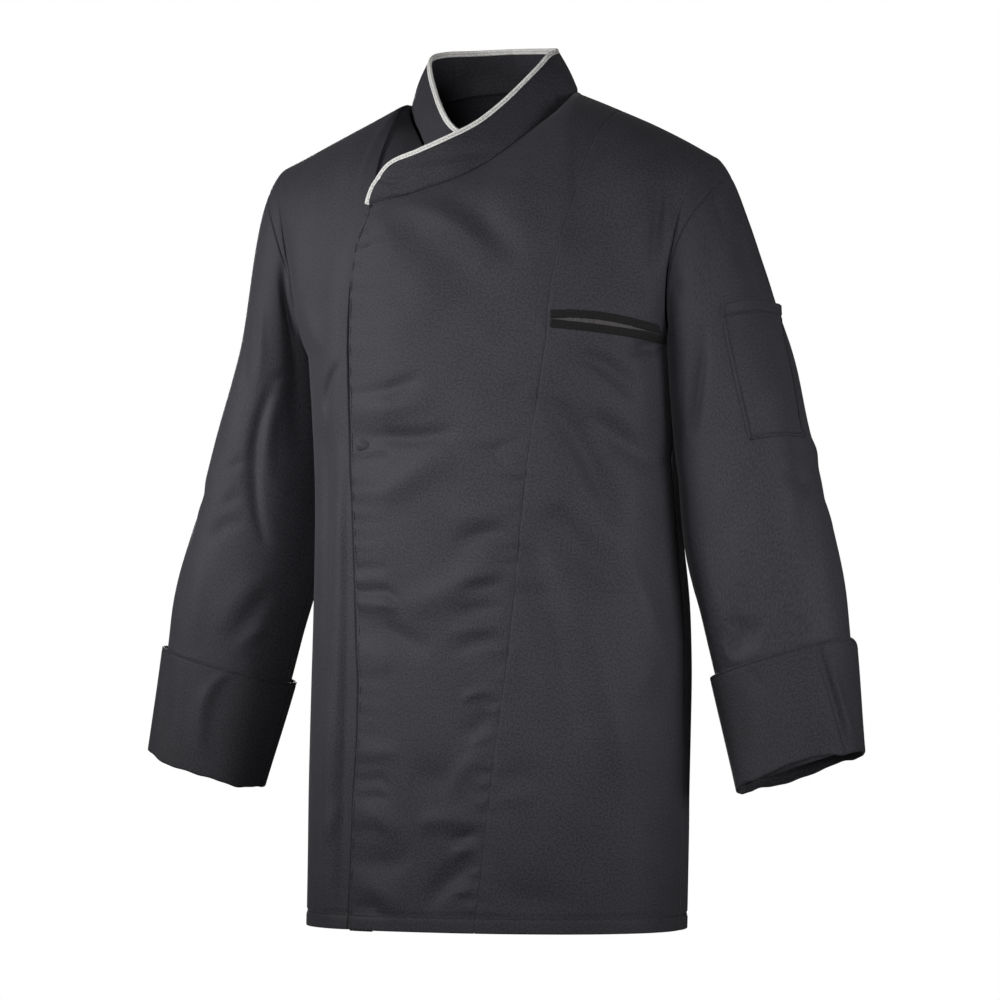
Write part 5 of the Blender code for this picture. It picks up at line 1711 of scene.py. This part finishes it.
def thread_material(name, colour, roughness):
    """Twisted sewing thread."""
    material = bpy.data.materials.new(name)
    material.use_nodes = True
    nodes = material.node_tree.nodes
    links = material.node_tree.links
    shader = nodes["Principled BSDF"]
    place = nodes.new("ShaderNodeTexCoord")
    twist = nodes.new("ShaderNodeTexNoise")
    twist.inputs["Scale"].default_value = 2500.0
    links.new(place.outputs["Object"], twist.inputs["Vector"])
    tint = nodes.new("ShaderNodeValToRGB")
    tint.color_ramp.elements[0].color = (*[v * 0.7 for v in colour], 1.0)
    tint.color_ramp.elements[1].color = (*[v * 1.5 for v in colour], 1.0)
    links.new(twist.outputs["Fac"], tint.inputs["Fac"])
    links.new(tint.outputs["Color"], shader.inputs["Base Color"])
    bump = nodes.new("ShaderNodeBump")
    bump.inputs["Strength"].default_value = 0.4
    bump.inputs["Distance"].default_value = 0.0002
    links.new(twist.outputs["Fac"], bump.inputs["Height"])
    links.new(bump.outputs["Normal"], shader.inputs["Normal"])
    shader.inputs["Roughness"].default_value = roughness
    material.diffuse_color = (*colour, 1.0)
    return material


def aim(item, place, target):
    item.location = place
    way = Vector(target) - Vector(place)
    item.rotation_euler = way.to_track_quat("-Z", "Y").to_euler()


def add_camera():
    data = bpy.data.cameras.new("camera")
    data.sensor_width = CAMERA_SENSOR
    data.lens = CAMERA_LENS
    data.clip_end = 60.0
    camera = bpy.data.objects.new("camera", data)
    bpy.context.scene.collection.objects.link(camera)
    aim(camera, CAMERA_PLACE, CAMERA_AIM)
    bpy.context.scene.camera = camera


def add_light(name, place, target, size, power, spread):
    data = bpy.data.lights.new(name, "AREA")
    data.shape = "DISK"
    data.size = size
    data.energy = power
    data.spread = math.radians(spread)
    light = bpy.data.objects.new(name, data)
    bpy.context.scene.collection.objects.link(light)
    light.visible_camera = False
    aim(light, place, target)


def show_to_camera(tree, lit, seen, output):
    """One shader for what the studio lights, and another for what is seen straight."""
    ray = tree.nodes.new("ShaderNodeLightPath")
    mix = tree.nodes.new("ShaderNodeMixShader")
    tree.links.new(ray.outputs["Is Camera Ray"], mix.inputs["Fac"])
    tree.links.new(lit, mix.inputs[1])
    tree.links.new(seen, mix.inputs[2])
    tree.links.new(mix.outputs["Shader"], tree.nodes[output].inputs["Surface"])


def add_studio():
    """Pale floor, soft lights, and a white sky that lights less than it shows."""
    mesh = bpy.data.meshes.new("floor")
    far = FLOOR_REACH
    corners = [(x, y, FLOOR_LEVEL) for x, y in ((-far, -far), (far, -far), (far, far), (-far, far))]
    mesh.from_pydata(corners, [], [(0, 1, 2, 3)])
    floor = bpy.data.objects.new("floor", mesh)
    material = bpy.data.materials.new("floor_paper")
    material.use_nodes = True
    shader = material.node_tree.nodes["Principled BSDF"]
    shader.inputs["Base Color"].default_value = (*FLOOR_COLOUR, 1.0)
    shader.inputs["Roughness"].default_value = 0.9
    paper = material.node_tree.nodes.new("ShaderNodeEmission")
    paper.inputs["Color"].default_value = (*FLOOR_COLOUR, 1.0)
    show_to_camera(material.node_tree, shader.outputs["BSDF"], paper.outputs["Emission"], "Material Output")
    mesh.materials.append(material)
    bpy.context.scene.collection.objects.link(floor)
    lights = (("key", KEY), ("fill", FILL), ("front_light", FRONT), ("back_light", BACK))
    for name, light in lights:
        add_light(name, **light)
    world = bpy.data.worlds.new("studio")
    world.use_nodes = True
    nodes = world.node_tree.nodes
    lit = nodes["Background"]
    lit.inputs["Color"].default_value = (1.0, 1.0, 1.0, 1.0)
    lit.inputs["Strength"].default_value = SKY_LIGHT
    seen = nodes.new("ShaderNodeBackground")
    seen.inputs["Color"].default_value = (1.0, 1.0, 1.0, 1.0)
    seen.inputs["Strength"].default_value = SKY_SEEN
    show_to_camera(world.node_tree, lit.outputs["Background"], seen.outputs["Background"], "World Output")
    bpy.context.scene.world = world
    bpy.context.scene.view_settings.view_transform = "Standard"


front_columns = np.linspace(*FRONT_LOOK)
front_levels = np.append(np.linspace(*LEVELS_LOW), np.linspace(*LEVELS_HIGH)[1:])
left_look = look_at(left_front, front_columns, front_levels, MARK_REACH)
right_look = look_at(right_front, front_columns, front_levels)
sleeve_looks = [look_at_sleeve(side) for side in (1, -1)]
collar_look = look_at(collar_point, np.linspace(*STATIONS_LOOK), np.linspace(*HEIGHTS_LOOK))
sleeve_sizes = (SLEEVE_GIRTH, SLEEVE_LENGTH)
collar_sizes = (COLLAR_STATION, COLLAR_HEIGHT)
OVERLAP = place_overlap(left_look)
LEFT_CREASES += place_marks(LEFT_MARKS, left_look, flat_place)
RIGHT_CREASES += place_marks(RIGHT_MARKS, right_look, flat_place)
SLEEVE_LEFT_CREASES += place_marks(SLEEVE_LEFT_MARKS, sleeve_looks[0], round_place, sleeve_sizes)
SLEEVE_RIGHT_CREASES += place_marks(SLEEVE_RIGHT_MARKS, sleeve_looks[1], round_place, sleeve_sizes)
CUFF_LEFT_CREASES += place_marks(CUFF_LEFT_MARKS, sleeve_looks[0], round_place, sleeve_sizes)
CUFF_RIGHT_CREASES += place_marks(CUFF_RIGHT_MARKS, sleeve_looks[1], round_place, sleeve_sizes)
COLLAR_CREASES += place_marks(COLLAR_MARKS, collar_look, band_place, collar_sizes, STATION_DIGITS)

add_camera()
add_studio()
cloth = cloth_material("charcoal_twill", CLOTH_DARK, CLOTH_LIGHT, 0.64, 0.0011, 0.08)
reverse = cloth_material("charcoal_twill_reverse", REVERSE_DARK, REVERSE_LIGHT, 0.68, 0.0011, 0.06)
piping = cloth_material("grey_binding", PIPING_DARK, PIPING_LIGHT, 0.80, 0.0009, 0.10)
welt = cloth_material("black_welt", WELT_DARK, WELT_LIGHT, 0.85, 0.0011, 0.05)
slit = cloth_material("grey_slit", SLIT_DARK, SLIT_LIGHT, 0.80, 0.0009, 0.05)
thread = thread_material("dark_thread", THREAD_COLOUR, 0.6)
pale_thread = thread_material("grey_thread", PALE_THREAD_COLOUR, 0.6)
dress_left_panel(cloth, thread)
dress_left_side(cloth, thread)
dress_right_front(cloth, thread)
dress_back(cloth, thread)
dress_sleeve("sleeve_left", 1, SLEEVE_LEFT_CREASES, cloth)
dress_sleeve("sleeve_right", -1, SLEEVE_RIGHT_CREASES, cloth)
dress_cuff("cuff_left", 1, CUFF_LEFT_CREASES, reverse, thread)
dress_cuff("cuff_right", -1, CUFF_RIGHT_CREASES, reverse, thread)
dress_collar(cloth)
dress_piping(piping, pale_thread)
dress_chest_pocket(welt, slit, thread)
dress_sleeve_pocket(cloth, thread)
